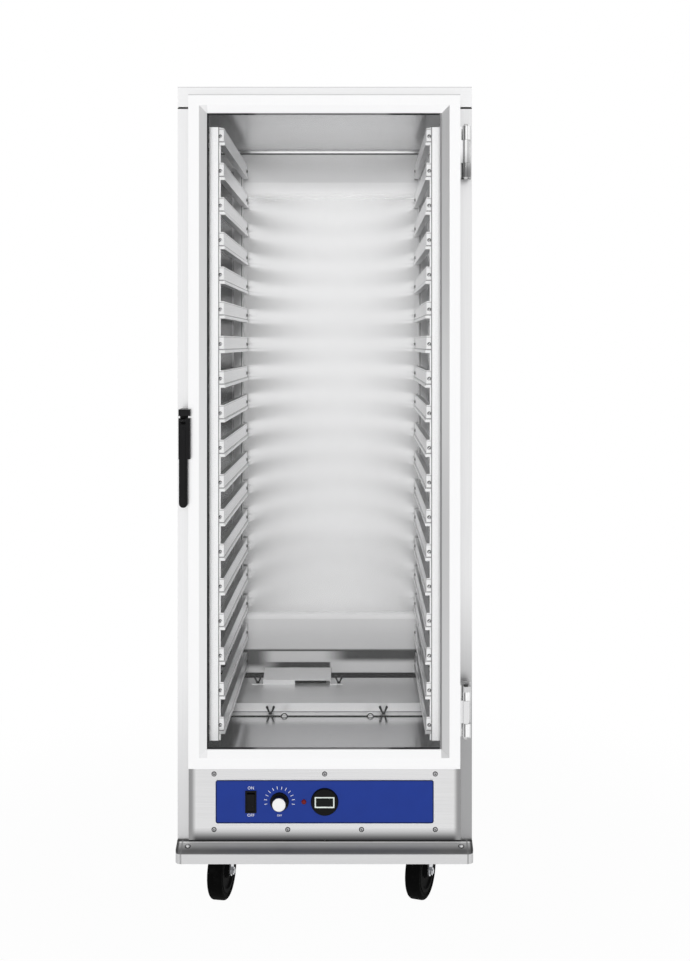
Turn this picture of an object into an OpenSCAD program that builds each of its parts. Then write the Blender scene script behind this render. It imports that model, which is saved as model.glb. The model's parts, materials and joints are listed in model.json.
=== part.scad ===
// Hot cupboard: a heated holding cabinet with a glazed door, pan slides, a heater module and casters.
// Millimetres, +Z up, the door faces -Y. The origin lies on the floor under the middle of the overall box.

/* [Body] */
// Overall width of the cabinet body
body_w = 641; // [610:1:680]
// Depth of the body from the jamb face to the back panel
body_d = 706; // [680:1:760]
// Overall height from the floor to the top
body_h = 1793; // [1760:1:1840]
// Thickness of the sheet metal
sheet_t = 1.5; // [1.2:0.1:2]
// Distance from the outside of a wall to the inner face of its liner
wall_t = 24.5; // [20:0.5:28]
// Distance from the top to the ceiling liner
ceiling_drop = 48; // [46:1:54]
// Height of the lip that the top cap turns down
top_lip = 44; // [40:1:46]
// Seam between the cap's lip and the side skins
cap_seam = 2; // [0.5:0.1:3]
// Height of the heater compartment between the base pan and the cabinet floor
module_h = 170; // [160:1:185]
// Depth that the skirt of the base pan hangs down
skirt_drop = 37; // [30:1:40]

/* [Door opening] */
// Width of the jamb face beside the opening
jamb_w = 42.5; // [38:0.5:46]
// Depth of the jamb, header and sill returns
jamb_return = 22; // [16:1:26]
// Height of the header strip under the lip of the top cap
header_h = 8; // [6:0.5:10]
// Height of the sill above the cabinet floor
sill_rise = 13; // [10:1:20]
// Height of the sill face
sill_face_h = 37; // [34:1:44]
// Length of the sill foot under the cabinet floor
sill_foot = 18; // [12:1:24]

/* [Door] */
// Width of the jamb strip left bare beside the door
door_reveal = 28.5; // [26:0.5:32]
// Height of the front lip left bare above the door
door_top_reveal = 24; // [18:1:30]
// How far the door reaches below the cabinet floor
door_below_floor = 3; // [2:0.5:5]
// Thickness of the door frame
door_t = 36; // [34:1:42]
// Width of the door frame members
frame_w = 39; // [36:0.5:46]
// Width of the flat outer land of the frame
land_w = 23; // [20:0.5:25]
// Depth of the bevel down to the pane
bevel_d = 10; // [6:0.5:11]
// Wall of the hollow door frame section
frame_wall = 2.5; // [1.8:0.1:3]
// Thickness of the clear pane
pane_t = 5; // [4:0.5:6]
// Depth that the pane sits in its groove
pane_grip = 7; // [5:0.5:8]
// Thickness of the door gasket
gasket_t = 9; // [7:0.5:11]
// Width of the door gasket
gasket_w = 14; // [10:0.5:16]
// Distance of the gasket from the door edge
gasket_inset = 7; // [6:0.5:10]
// Gap between the gasket and the jamb when the door is shut
gasket_gap = 0.5; // [0.3:0.1:1]

/* [Hinges] */
// Height of a hinge
hinge_h = 110; // [90:1:120]
// Height of the upper hinge's middle below the top
upper_hinge_drop = 147; // [120:1:200]
// Height of the lower hinge's middle above the cabinet floor
lower_hinge_rise = 119; // [90:1:160]
// Distance of the hinge axis from the door edge
hinge_offset = 12; // [11.5:0.5:13]
// Distance of the hinge axis behind the door's front face
hinge_setback = 2; // [1:0.5:3]
// Radius of the hinge knuckles
knuckle_r = 7; // [6.5:0.1:7.5]
// Height of each end knuckle
end_knuckle_h = 30; // [24:1:34]
// Radius of the hinge pins
hinge_pin_r = 3.5; // [3:0.1:4]
// Thickness of the hinge leaves
leaf_t = 3; // [2.5:0.1:3.5]

/* [Latch] */
// How far the latch lever stands in front of the door
latch_proud = 17; // [16:0.5:22]
// Height of the latch pivot above the floor
latch_z = 1069; // [1000:1:1120]
// Width of the upper part of the lever
lever_w = 25; // [23:0.5:25.5]
// Width of the grip of the lever
grip_w = 18.5; // [16:0.5:20]
// Thickness of the lever
lever_t = 13; // [12:0.5:14]
// Length of the lever below its pivot
lever_len = 186; // [150:1:210]
// Length of the broad upper part of the lever below its pivot
lever_head_len = 82; // [60:1:100]
// Radius of the latch pin
latch_pin_r = 2; // [1.6:0.1:2.4]
// Swell of the ridge along the lever
ridge_h = 2; // [1.5:0.1:3]

/* [Pan rack] */
// Distance from the outside of a wall to the web of its pan slides
rack_inset = 97.5; // [94:0.5:110]
// Width of a pan slide
slide_w = 11.5; // [10:0.5:14]
// Height of a pan slide
slide_h = 38; // [30:1:40]
// Height of the hem along the foot of a slide
hem_h = 6; // [4:0.5:8]
// How far the hem stands out from the web
hem_proud = 2.5; // [1.5:0.1:3]
// Pitch of the slides
slide_pitch = 76.2; // [70:0.1:90]
// Width of a rack upright
upright_w = 20; // [18:0.5:24]
// Depth of a rack upright
upright_d = 50; // [40:1:60]
// Width of the notched flange along the inner edge of an upright
flange_w = 4; // [3:0.5:6]
// Distance of that flange behind the front of its upright
flange_setback = 4; // [2:0.5:8]
// Distance from the jamb face to the rack
rack_setback = 31; // [28:0.5:40]
// Gap between the uprights and the cabinet floor
rack_floor_gap = 36; // [30:1:60]
// Gap between the uprights and the ceiling
rack_ceiling_gap = 35; // [25:1:60]
// Gap between the slides and the back liner
slide_rear_gap = 17; // [10:1:30]
// How far the slides run past the front of the rear uprights
slide_overhang = 43; // [30:1:60]
// Radius of the slide rivet heads
rivet_r = 3.2; // [2.5:0.1:4]

/* [Heater module] */
// Distance from a side liner to the heater cover
cover_inset = 56; // [46:1:70]
// Height of the heater cover above the cabinet floor
cover_h = 24; // [20:1:30]
// Distance from the rack front to the heater cover
cover_setback = 365; // [340:1:380]
// Width of the foot flange of the heater cover
cover_foot = 33; // [28:1:40]
// Air slot between the heater cover and the back liner
air_slot = 29; // [20:1:40]
// Width of the air hood
hood_w = 175; // [150:1:190]
// Distance of the hood's middle to the left of the cabinet's middle
hood_offset = 87; // [75:1:100]
// Depth of the air hood
hood_d = 65; // [55:1:75]
// Height of the hood's front mouth
hood_mouth_h = 12; // [9:0.5:15]
// Height of the hood at its rear
hood_back_h = 29; // [22:1:34]
// Depth of the heater well below the cabinet floor
well_d = 97; // [90:1:105]
// Diameter of the fan impeller
fan_dia = 120; // [100:1:130]
// Height of the fan blades
fan_h = 28; // [22:1:34]
// Number of fan blades
fan_blades = 8; // [5:1:10]
// Radius of the fan shaft
fan_shaft_r = 4; // [3:0.1:5]
// Diameter of the heating element tube
element_dia = 8.5; // [7:0.5:10]
// Bend radius of the heating element
element_bend = 30; // [24:1:32]
// Distance of the element's bend from the rear of the heater cover
element_setback = 90; // [80:1:100]
// Distance of the element's near leg to the right of the middle
element_x = 70; // [60:1:80]

/* [Controls] */
// How far the control panel reaches past the door on each side
panel_reveal = 3; // [0:0.5:8]
// Depth that the control panel stands in front of the jamb
panel_proud = 12; // [9:0.5:14]
// Gap between the door and the control panel
panel_gap = 3; // [2:0.5:5]
// Bare margin of the control panel beside its label
label_margin = 57; // [50:1:65]
// Height of the control label
label_h = 97; // [90:1:105]
// Thickness of the control label
label_t = 0.8; // [0.5:0.1:1.2]
// Corner radius of the control label
label_r = 6.5; // [4:0.5:10]
// Height of the controls above the base pan
controls_rise = 86; // [80:1:92]
// Distance of the switch to the left of the middle
switch_x = 160; // [150:1:170]
// Width of the switch bezel
switch_w = 24.5; // [22:0.5:27]
// Height of the switch bezel
switch_h = 48; // [44:1:52]
// Angle that the rocker leans to each side
rocker_lean = 7; // [4:0.5:8]
// Distance of the thermostat knob to the left of the middle
knob_x = 98; // [92:1:104]
// Radius of the knob skirt
knob_skirt_r = 20.6; // [18:0.2:23]
// Radius of the knob cap
knob_cap_r = 15.8; // [13:0.2:17]
// Depth of the knob
knob_d = 23; // [18:0.5:26]
// Radius of the thermostat shaft
knob_shaft_r = 3; // [2.5:0.1:3.5]
// Distance of the pilot lamp to the left of the middle
lamp_x = 45; // [40:1:50]
// Radius of the pilot lamp
lamp_r = 5.4; // [4:0.2:7]
// Radius of the thermometer bezel
meter_r = 30; // [26:0.5:33]
// Width of the thermometer display
display_w = 42.5; // [36:0.5:45]
// Height of the thermometer display
display_h = 23.5; // [18:0.5:26]
// Radius of the screw heads
screw_r = 4; // [3:0.2:5]

/* [Ledge and casters] */
// How far the front ledge stands out
ledge_d = 46; // [40:1:55]
// Height of the ledge's front lip
ledge_lip = 20; // [16:0.5:24]
// Corner radius of the ledge
ledge_r = 14; // [10:1:18]
// Wall of the ledge
ledge_wall = 2; // [1.6:0.1:3]
// Overall height of a caster
caster_h = 154; // [148:1:160]
// Diameter of the caster wheels
wheel_dia = 125; // [115:1:130]
// Width of the caster wheels
wheel_w = 34; // [28:1:38]
// Trail of the wheel behind its swivel
trail = 35; // [28:1:40]
// Distance of the caster swivels from the sides
caster_inset_x = 96.5; // [90:0.5:110]
// Distance of the caster swivels from the front and back
caster_inset_y = 100; // [90:1:120]
// Angle at which the casters stand, in the order front left, front right, rear left, rear right
caster_turn = [-11, -21, -14, -17]; // [-45:1:45]
// Radius of the caster axles
axle_r = 5; // [4:0.1:6]
// Radius of the caster king pins
king_pin_r = 6; // [5:0.1:7]

/* [Fits] */
// Radial clearance of a shaft or pin that turns in its bore
running_gap = 0.05; // [0.02:0.01:0.1]
// Gap between parts that pass each other
free_gap = 0.6; // [0.4:0.1:1]
// Gap between a part and the slot that it sits in
seat_gap = 0.2; // [0.1:0.05:0.4]

/* [Hidden] */
$fn = 48;
// Overlap with which a cut breaks through a face
cut = 1;
front_reach = gasket_t + door_t + latch_proud;
gland_reach = 12;
total_d = front_reach + body_d + gland_reach;
half_w = body_w / 2;
y_jamb = front_reach - total_d / 2;
y_back = y_jamb + body_d;
y_liner = y_back - wall_t;
x_liner = half_w - wall_t;
x_jamb = half_w - jamb_w;
wall_run = x_liner + sheet_t - x_jamb;
y_return = y_jamb + jamb_return;
z_base = caster_h;
z_deck = z_base + sheet_t;
z_floor = z_base + module_h;
z_ceiling = body_h - ceiling_drop;
z_lip = body_h - top_lip;
z_open_top = z_lip - header_h;
z_sill = z_floor + sill_rise;

// Door planes
y_door_back = y_jamb - gasket_t;
y_door = y_door_back - door_t;
x_door = half_w - door_reveal;
z_door0 = z_floor - door_below_floor;
z_door1 = body_h - door_top_reveal;
pane_y = bevel_d + 4;
pane_slot = pane_t + seat_gap;
groove_u = frame_w - pane_grip - 1;
rear_bevel = 10;
gasket_base_t = 3;

// Hinge axis
x_hinge = x_door + hinge_offset;
y_hinge = y_door + hinge_setback;
hinge_heights = [body_h - upper_hinge_drop, z_floor + lower_hinge_rise];
hinge_block_w = hinge_offset - 1.5;
hinge_block_front = 5;
hinge_web_t = 3;
leaf_start = 8;
leaf_end = door_t - 4;
cap_h = 4;
cap_r = 5;

// Latch places
x_latch = -x_door - 19;
y_lever = y_door - latch_proud;
y_latch_pin = y_lever + 8;
lever_top = 5;
boss_w = 10;
boss_r = 4.5;
x_boss = x_latch + 4.5;
latch_block_y0 = y_door + 12;
latch_block_w = 19;
latch_cap_h = 14;
latch_pin_end = 2.7;
z_latch0 = latch_z - 45;
z_latch1 = latch_z + 24;
strike_t = 2;

// Rack places
y_rack = y_jamb + rack_setback;
x_web = half_w - rack_inset;
x_upright = x_web + slide_w;
slide_len = y_liner - slide_rear_gap - y_rack;
z_rack0 = z_floor + rack_floor_gap;
z_rack1 = z_ceiling - rack_ceiling_gap;
slide_count = floor((z_rack1 - z_rack0 - slide_h) / slide_pitch) + 1;
z_top_slide = z_rack1 - slide_h / 2 - 2;
y_rear_upright = y_rack + slide_len - slide_overhang;
x_rivet = x_upright - slide_w * 0.4;
y_rear_rivet = y_rear_upright + upright_d / 2;
bracket_h = 30;
bracket_w = 20;
bracket_t = 3;
bracket_inset = 12;
tongue_h = 11;

// Heater places
cover_half_w = x_liner - cover_inset;
y_cover = y_rack + cover_setback;
y_cover_end = y_liner - air_slot;
z_cover = z_floor + cover_h;
lug_r = 9;
lug_spots = [-108, 102];
x_hood0 = -hood_offset - hood_w / 2;
x_hood1 = -hood_offset + hood_w / 2;
y_hood = y_cover_end - hood_d - 7;
hood_flange = 30;
hood_flange_d = 20;
hood_shutter = hood_w * 0.47;
hood_vent_margin = 12;
y_well = y_cover + 18;
well_half_w = cover_half_w - 12;
well_lip = 8;
z_well = z_floor - sheet_t - well_d;
joggle = 2;
z_seam = z_floor + 89;
z_kick = z_floor + 30;
y_kick = y_liner + joggle;
y_well_end = y_kick + sheet_t;
fan_x = -hood_offset;
fan_y = y_cover + 130;
fan_hub_r = 14;
blade_t = 2;
blade_lean = 35;
motor_r = 38;
motor_h = 44;
motor_floor = 10;
z_motor = z_well - motor_h;
z_fan = z_well + sheet_t + 14;
element_z = z_well + 56;
element_spots = [element_x, element_x + 2 * element_bend];
element_flange_h = 24;
wing_t = 2.5;
wing_hub_r = 4.5;
wing_hub_h = 5;
wing_screw_spots = [
    [-143, y_cover - cover_foot / 2, z_floor + sheet_t],
    [134, y_cover - cover_foot / 2, z_floor + sheet_t],
    [x_hood0 - hood_flange / 2, y_hood + hood_flange_d / 2, z_cover + sheet_t],
    [x_hood1 + hood_flange * 0.7, y_hood + hood_flange_d / 2, z_cover + sheet_t]
];

// Control places
panel_w = 2 * (x_door + panel_reveal);
label_w = panel_w - 2 * label_margin;
y_panel = y_jamb - panel_proud;
z_panel0 = z_deck + 1.5;
z_panel1 = z_door0 - panel_gap;
z_controls = z_base + controls_rise;
y_label = y_panel - label_t;
bezel_t = 3;
switch_body_w = switch_w - 3;
switch_body_h = switch_h - 4;
switch_body_d = 24;
rocker_w = switch_w - 8;
rocker_h = switch_h - 10;
rocker_reach = 9;
rocker_pin_r = 1.5;
rocker_stub = 1.4;
rocker_pocket_d = 12;
y_rocker = y_panel + 4;
bush_r = 5;
thermostat_w = 48;
thermostat_h = 40;
thermostat_d = 34;
knob_gap = 0.8;
knob_core_r = knob_cap_r - 2.2;
knob_core_d = knob_d - 3;
knob_skirt_t = 5;
meter_t = 6;
meter_body_r = meter_r - 5;
meter_body_d = 24;
display_t = 2;
lamp_body_r = lamp_r - 1;
screw_x = label_w / 2 + 2;
screw_rows = [z_controls + 60, z_controls - 60.5];
gland_r = 9;
gland_x = 200;
gland_z = z_base + 68;

// Ledge and caster places
z_ledge0 = z_base - skirt_drop;
ledge_flat = 6;
ledge_nose = 4;
ledge_nose_h = 3;
ledge_slope = atan((skirt_drop - ledge_lip - ledge_nose_h) / (ledge_d - ledge_flat - ledge_nose));
ledge_screw_run = 18;
ledge_screw_inset = 25;
caster_x = half_w - caster_inset_x;
caster_plate_w = 100;
caster_plate_d = 84;
plate_t = 4;
crown_t = 4;
crown_r = 32;
race_h = 9;
king_head_r = 10;
king_head_h = 3;
wheel_r = wheel_dia / 2;
hub_r = wheel_r * 0.7;
hub_boss_r = 14;
hub_lip = 2.5;
hub_proud = 2;
tread_r = 7;
fork_gap = wheel_w + 6;
fork_t = 3;
fork_top_r = 22;
fork_end_r = 11;
bolt_head_r = 9;
bolt_head_t = 5;
z_crown = z_base - plate_t - race_h;
z_fork = z_crown - crown_t / 2;
caster_spots = [
    [-caster_x, y_jamb + caster_inset_y],
    [caster_x, y_jamb + caster_inset_y],
    [-caster_x, y_back - caster_inset_y],
    [caster_x, y_back - caster_inset_y]
];

// Shared shapes

// Box from its two corners
module span(lo, hi) {
    translate(lo) cube(hi - lo);
}

// The part on the right, and its mirror on the left
module on_left() {
    mirror([1, 0, 0]) children();
}

module both_sides() {
    children();
    on_left() children();
}

// Cylinder that points to the front, from y0 forward
module forward_rod(r, x, z, y0, y1) {
    translate([x, y0, z]) rotate([90, 0, 0]) cylinder(r = r, h = y0 - y1);
}

// Cylinder along X
module cross_rod(r, x0, x1, y, z) {
    translate([x0, y, z]) rotate([0, 90, 0]) cylinder(r = r, h = x1 - x0);
}

// Revolved shape that points to the front, its profile given as radius and depth
module forward_turn(x, z, y0) {
    translate([x, y0, z]) rotate([90, 0, 0]) rotate_extrude() children();
}

// Profile in Y and Z, run along X
module run_x(x0, x1) {
    translate([x0, 0, 0]) rotate([90, 0, 90]) linear_extrude(x1 - x0) children();
}

// Profile in X and Z, run backward along Y
module run_y(y0, y1) {
    translate([0, y1, 0]) rotate([90, 0, 0]) linear_extrude(y1 - y0) children();
}

// Rectangle with round corners
module round_rect(w, h, r) {
    square([w - 2 * r, h], center = true);
    square([w, h - 2 * r], center = true);
    for (x = [-1, 1], y = [-1, 1])
        translate([x * (w / 2 - r), y * (h / 2 - r)]) circle(r);
}

// Two round ends joined by their tangents, the second one below the first
module taper_bar(r_top, r_end, drop) {
    lean = asin((r_top - r_end) / drop);
    circle(r_top);
    translate([0, -drop]) circle(r_end);
    polygon([
        [r_top * cos(lean), -r_top * sin(lean)],
        [r_end * cos(lean), -drop - r_end * sin(lean)],
        [-r_end * cos(lean), -drop - r_end * sin(lean)],
        [-r_top * cos(lean), -r_top * sin(lean)]
    ]);
}

// Base and shell

module base_pan() {
    color("silver") {
        span([-half_w, y_jamb, z_base], [half_w, y_back, z_deck]);
        difference() {
            span([-half_w, y_jamb, z_ledge0], [half_w, y_back, z_base]);
            span([-half_w + sheet_t, y_jamb + sheet_t, z_ledge0 - cut],
                [half_w - sheet_t, y_back - sheet_t, z_base + cut]);
        }
    }
}

// Plan of the ledge, drawn in by an inset and run past the jamb plane
module ledge_plan(inset, past) {
    y_round = y_jamb - ledge_d + ledge_r;
    translate([-half_w + ledge_r, y_jamb - ledge_d + inset])
        square([body_w - 2 * ledge_r, ledge_d - inset + past]);
    translate([-half_w + inset, y_round])
        square([body_w - 2 * inset, ledge_d - ledge_r + past]);
    for (x = [-1, 1])
        translate([x * (half_w - ledge_r), y_round]) circle(ledge_r - inset);
}

// Side view of the ledge, lowered by an inset and run past the jamb plane
module ledge_profile(inset, past) {
    z_nose = z_ledge0 + ledge_lip - inset;
    polygon([
        [y_jamb + past, z_ledge0 - past],
        [y_jamb + past, z_base - inset],
        [y_jamb - ledge_flat, z_base - inset],
        [y_jamb - ledge_d + ledge_nose, z_nose + ledge_nose_h],
        [y_jamb - ledge_d, z_nose],
        [y_jamb - ledge_d, z_ledge0 - past]
    ]);
}

module ledge_solid(inset, past) {
    intersection() {
        translate([0, 0, z_ledge0 - past]) linear_extrude(skirt_drop + 2 * past) ledge_plan(inset, past);
        run_x(-half_w, half_w) ledge_profile(inset, past);
    }
}

// Sloped shelf with a rounded front, hollow and open below
module front_ledge() {
    color("gainsboro") difference() {
        ledge_solid(0, 0);
        ledge_solid(ledge_wall, cut);
    }
}

// Side skin whose front edge is folded into the jamb
module side_panel() {
    translate([0, 0, z_deck]) linear_extrude(z_lip - cap_seam - z_deck) {
        translate([half_w - sheet_t, y_jamb]) square([sheet_t, body_d]);
        translate([x_jamb, y_jamb]) square([jamb_w, sheet_t]);
        translate([x_jamb, y_jamb]) square([sheet_t, jamb_return]);
    }
}

module side_panel_left() {
    color("gainsboro") on_left() side_panel();
}

module side_panel_right() {
    color("gainsboro") side_panel();
}

// Rear skin with rows of vent slots and the hole for the gland
module back_panel() {
    vent_w = 60;
    vent_h = 5;
    vent_pitch = [90, 16];
    vent_inset = 140;
    vent_rise = 40;
    vent_start = [vent_inset - half_w, z_deck + vent_rise];
    color("gainsboro") difference() {
        span([-half_w + sheet_t, y_back - sheet_t, z_deck], [half_w - sheet_t, y_back, z_lip]);
        for (column = [0:2], row = [0:4])
            translate([vent_start[0] + column * vent_pitch[0], y_back - sheet_t - cut,
                vent_start[1] + row * vent_pitch[1]]) cube([vent_w, sheet_t + 2 * cut, vent_h]);
        forward_rod(gland_r + seat_gap, gland_x, gland_z, y_back + cut, y_back - sheet_t - cut);
    }
}

// Cap whose lips turn down all round
module top_panel() {
    color("whitesmoke") difference() {
        span([-half_w, y_jamb, z_lip], [half_w, y_back, body_h]);
        span([-half_w + sheet_t, y_jamb + sheet_t, z_lip - cut],
            [half_w - sheet_t, y_back - sheet_t, body_h - sheet_t]);
    }
}

module door_header() {
    color("gainsboro") run_x(-x_jamb, x_jamb) {
        translate([y_jamb, z_open_top]) square([sheet_t, header_h]);
        translate([y_jamb, z_open_top]) square([jamb_return, sheet_t]);
        translate([y_return - sheet_t, z_open_top]) square([sheet_t, z_ceiling - z_open_top]);
    }
}

module door_sill() {
    color("gainsboro") run_x(-x_jamb, x_jamb) {
        translate([y_jamb, z_sill - sill_face_h]) square([sheet_t, sill_face_h]);
        translate([y_jamb, z_sill - sheet_t]) square([jamb_return, sheet_t]);
        translate([y_return - sheet_t, z_floor - 2 * sheet_t]) square([sheet_t, sill_rise + 2 * sheet_t]);
        translate([y_return - sheet_t, z_floor - 2 * sheet_t]) square([sill_foot + sheet_t, sheet_t]);
    }
}

// Liners

module side_liner() {
    translate([0, 0, z_floor - sheet_t]) linear_extrude(z_ceiling - z_floor + sheet_t) {
        translate([x_liner, y_return]) square([sheet_t, y_liner + sheet_t - y_return]);
        translate([x_jamb, y_return]) square([wall_run, sheet_t]);
    }
}

module liner_left() {
    color("darkgray") on_left() side_liner();
}

module liner_right() {
    color("darkgray") side_liner();
}

// Back liner, set back below its seam, with the air slot cut out of its foot
module liner_back() {
    color("lightgray") difference() {
        run_x(-x_liner, x_liner) {
            translate([y_liner, z_seam]) square([sheet_t, z_ceiling - z_seam]);
            translate([y_liner, z_seam]) square([joggle + sheet_t, sheet_t]);
            translate([y_kick, z_floor - sheet_t]) square([sheet_t, z_seam - z_floor + 2 * sheet_t]);
        }
        span([-well_half_w, y_kick - cut, z_floor - sheet_t - cut],
            [well_half_w, y_kick + sheet_t + cut, z_kick]);
    }
}

module liner_top() {
    color("darkgray") span([-x_liner - sheet_t, y_return - sheet_t, z_ceiling],
        [x_liner + sheet_t, y_liner + sheet_t, z_ceiling + sheet_t]);
}

// Cabinet floor, cut out over the heater well
module floor_pan() {
    color("silver") difference() {
        span([-x_liner, y_return + sheet_t, z_floor - sheet_t], [x_liner, y_kick, z_floor]);
        span([-well_half_w, y_well, z_floor - sheet_t - cut], [well_half_w, y_kick + cut, z_floor + cut]);
    }
}

// Pan rack

// Channel whose open side faces the wall, with a flange that is notched for the slides
module upright(y0) {
    y_flange = y0 + flange_setback;
    translate([0, 0, z_rack0]) linear_extrude(z_rack1 - z_rack0) difference() {
        translate([x_upright, y0]) square([upright_w, upright_d]);
        translate([x_upright + sheet_t, y0 + sheet_t]) square([upright_w, upright_d - 2 * sheet_t]);
    }
    difference() {
        span([x_upright - flange_w, y_flange, z_rack0], [x_upright, y_flange + sheet_t, z_rack1]);
        for (i = [0:slide_count - 1])
            translate([x_upright - flange_w - cut, y_flange - cut, z_top_slide - i * slide_pitch - slide_h / 2])
                cube([flange_w + cut, sheet_t + 2 * cut, slide_h]);
    }
}

module upright_pair() {
    upright(y_rack);
    upright(y_rear_upright);
}

module rack_uprights_left() {
    color("whitesmoke") on_left() upright_pair();
}

module rack_uprights_right() {
    color("whitesmoke") upright_pair();
}

// Wall plate with two tongues that reach into the upright's channel
module bracket(y0, z0) {
    span([x_liner - bracket_t, y0, z0], [x_liner, y0 + bracket_w, z0 + bracket_h]);
    for (z = [z0, z0 + bracket_h - tongue_h])
        span([x_upright + sheet_t, y0, z], [x_liner, y0 + bracket_t, z + tongue_h]);
}

module rack_brackets() {
    low = z_rack0 + bracket_inset;
    high = z_rack1 - bracket_inset - bracket_h;
    color("silver") both_sides()
        for (y = [y_rack, y_rear_upright], z = [low, high])
            bracket(y + bracket_inset, z);
}

// Channel with a closed front end, its web facing the pans and hemmed along its foot
module slide(z) {
    translate([0, 0, z - slide_h / 2]) difference() {
        union() {
            span([x_web, y_rack, 0], [x_upright, y_rack + slide_len, slide_h]);
            span([x_web - hem_proud, y_rack, 0], [x_web + cut, y_rack + slide_len, hem_h]);
        }
        span([x_web + sheet_t, y_rack + sheet_t, sheet_t],
            [x_upright + cut, y_rack + slide_len + cut, slide_h - sheet_t]);
    }
}

module slide_rows() {
    for (i = [0:slide_count - 1])
        slide(z_top_slide - i * slide_pitch);
}

module pan_slides_left() {
    color("lightgray") on_left() slide_rows();
}

module pan_slides_right() {
    color("lightgray") slide_rows();
}

// Section of a domed head
module rivet_section() {
    dome_r = rivet_r * 1.6;
    intersection() {
        translate([0, -rivet_r]) circle(dome_r);
        square([rivet_r, rivet_r]);
    }
}

// Domed heads in front of the slide ends and on the webs at the rear uprights
module slide_rivets() {
    color("gray") both_sides()
        for (i = [0:slide_count - 1]) {
            z = z_top_slide - i * slide_pitch;
            forward_turn(x_rivet, z, y_rack) rivet_section();
            translate([x_web, y_rear_rivet, z]) rotate([0, -90, 0]) rotate_extrude() rivet_section();
        }
}

// Heater module

// Tray turned upside down, open to the rear, with two lugs on the foot along its front
module heater_cover() {
    y_foot = y_cover - cover_foot;
    color("silver") difference() {
        union() {
            span([-cover_half_w, y_cover, z_floor], [cover_half_w, y_cover_end, z_cover]);
            span([-cover_half_w, y_foot, z_floor], [cover_half_w, y_cover + cut, z_floor + sheet_t]);
            for (x = lug_spots) intersection() {
                forward_rod(lug_r, x, z_floor + sheet_t, y_foot + sheet_t, y_foot);
                span([x - lug_r, y_foot, z_floor], [x + lug_r, y_foot + sheet_t, z_floor + sheet_t + lug_r]);
            }
        }
        span([-cover_half_w + sheet_t, y_cover + sheet_t, z_floor - cut],
            [cover_half_w - sheet_t, y_cover_end + cut, z_cover - sheet_t]);
        span([x_hood0 + hood_vent_margin, y_hood + hood_vent_margin, z_floor],
            [x_hood1 - hood_vent_margin, y_hood + hood_d - hood_vent_margin, z_cover + cut]);
    }
}

// Side view of the hood, thinned by an inset and run past its open faces
module hood_profile(inset, past) {
    y_rear = y_hood + hood_d - inset;
    polygon([
        [y_hood - past, z_cover - past],
        [y_hood - past, z_cover + hood_mouth_h - inset],
        [y_hood, z_cover + hood_mouth_h - inset],
        [y_rear, z_cover + hood_back_h - inset],
        [y_rear, z_cover - past]
    ]);
}

// Sheet that slopes up from its mouth to its rear wall, with side walls, feet and a part-width shutter
module air_hood() {
    color("whitesmoke") {
        difference() {
            run_x(x_hood0, x_hood1) hood_profile(0, 0);
            run_x(x_hood0 + sheet_t, x_hood1 - sheet_t) hood_profile(sheet_t, cut);
        }
        for (foot = [[x_hood0 - hood_flange, x_hood0 + sheet_t], [x_hood1 - sheet_t, x_hood1 + hood_flange]])
            span([foot[0], y_hood, z_cover], [foot[1], y_hood + hood_flange_d, z_cover + sheet_t]);
        span([x_hood0, y_hood, z_cover], [x_hood0 + hood_shutter, y_hood + sheet_t, z_cover + hood_mouth_h]);
    }
}

// Screw with two raised wings
module wing_screw() {
    cylinder(r = wing_hub_r, h = wing_hub_h);
    translate([0, wing_t / 2, 0]) rotate([90, 0, 0]) linear_extrude(wing_t) polygon([
        [-4, 2], [-11.5, 17], [-9, 20], [-6, 19], [-1.5, wing_hub_h - 1],
        [1.5, wing_hub_h - 1], [6, 19], [9, 20], [11.5, 17], [4, 2]
    ]);
}

module wing_screws() {
    color("dimgray")
        for (spot = wing_screw_spots)
            translate(spot) wing_screw();
}

// Open pan hung under the cabinet floor by a lip at each side, its rear wall raised behind the back liner
module heater_well() {
    z1 = z_floor - sheet_t;
    lip_relief = 4;
    color("darkgray") difference() {
        union() {
            span([-well_half_w, y_well, z_well], [well_half_w, y_well_end, z1]);
            span([-well_half_w - well_lip, y_well + lip_relief, z1 - sheet_t],
                [well_half_w + well_lip, y_kick - lip_relief, z1]);
            span([-well_half_w, y_well_end, z_well], [well_half_w, y_well_end + sheet_t, z_kick + well_lip]);
        }
        span([-well_half_w + sheet_t, y_well + sheet_t, z_well + sheet_t],
            [well_half_w - sheet_t, y_well_end, z1 + cut]);
        translate([fan_x, fan_y, z_well - cut]) cylinder(r = fan_shaft_r * 2, h = sheet_t + 2 * cut);
        for (x = element_spots)
            forward_rod(element_dia / 2 + seat_gap, x, element_z, y_well + sheet_t + cut, y_well - cut);
    }
}

// Hairpin tube, its two ends through a flange on the front of the well
module heating_element() {
    tail = 10;
    flange_t = 3;
    flange_margin = element_dia + 4;
    y_bend = y_cover_end - element_setback;
    y_tail = y_well - flange_t - tail;
    color("dimgray") {
        for (x = element_spots) {
            forward_rod(element_dia / 2, x, element_z, y_bend, y_tail);
            forward_rod(element_dia / 4, x, element_z, y_tail, y_tail - tail);
        }
        translate([element_spots[0] + element_bend, y_bend, element_z])
            rotate_extrude(angle = 180) translate([element_bend, 0]) circle(element_dia / 2);
        span([element_spots[0] - flange_margin, y_well - flange_t, element_z - element_flange_h / 2],
            [element_spots[1] + flange_margin, y_well, element_z + element_flange_h / 2]);
    }
}

// Motor can with a blind bore for the fan shaft
module fan_motor() {
    bore = fan_shaft_r + running_gap;
    boss_r = 10;
    boss_h = 6;
    edge = 8;
    color("dimgray") translate([fan_x, fan_y, z_motor]) rotate_extrude() polygon([
        [bore, motor_floor], [bore, motor_h], [fan_hub_r, motor_h], [motor_r, motor_h - edge], [motor_r, edge],
        [motor_r - edge, 0], [boss_r, 0], [boss_r, -boss_h], [0, -boss_h], [0, motor_floor]
    ]);
}

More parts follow.
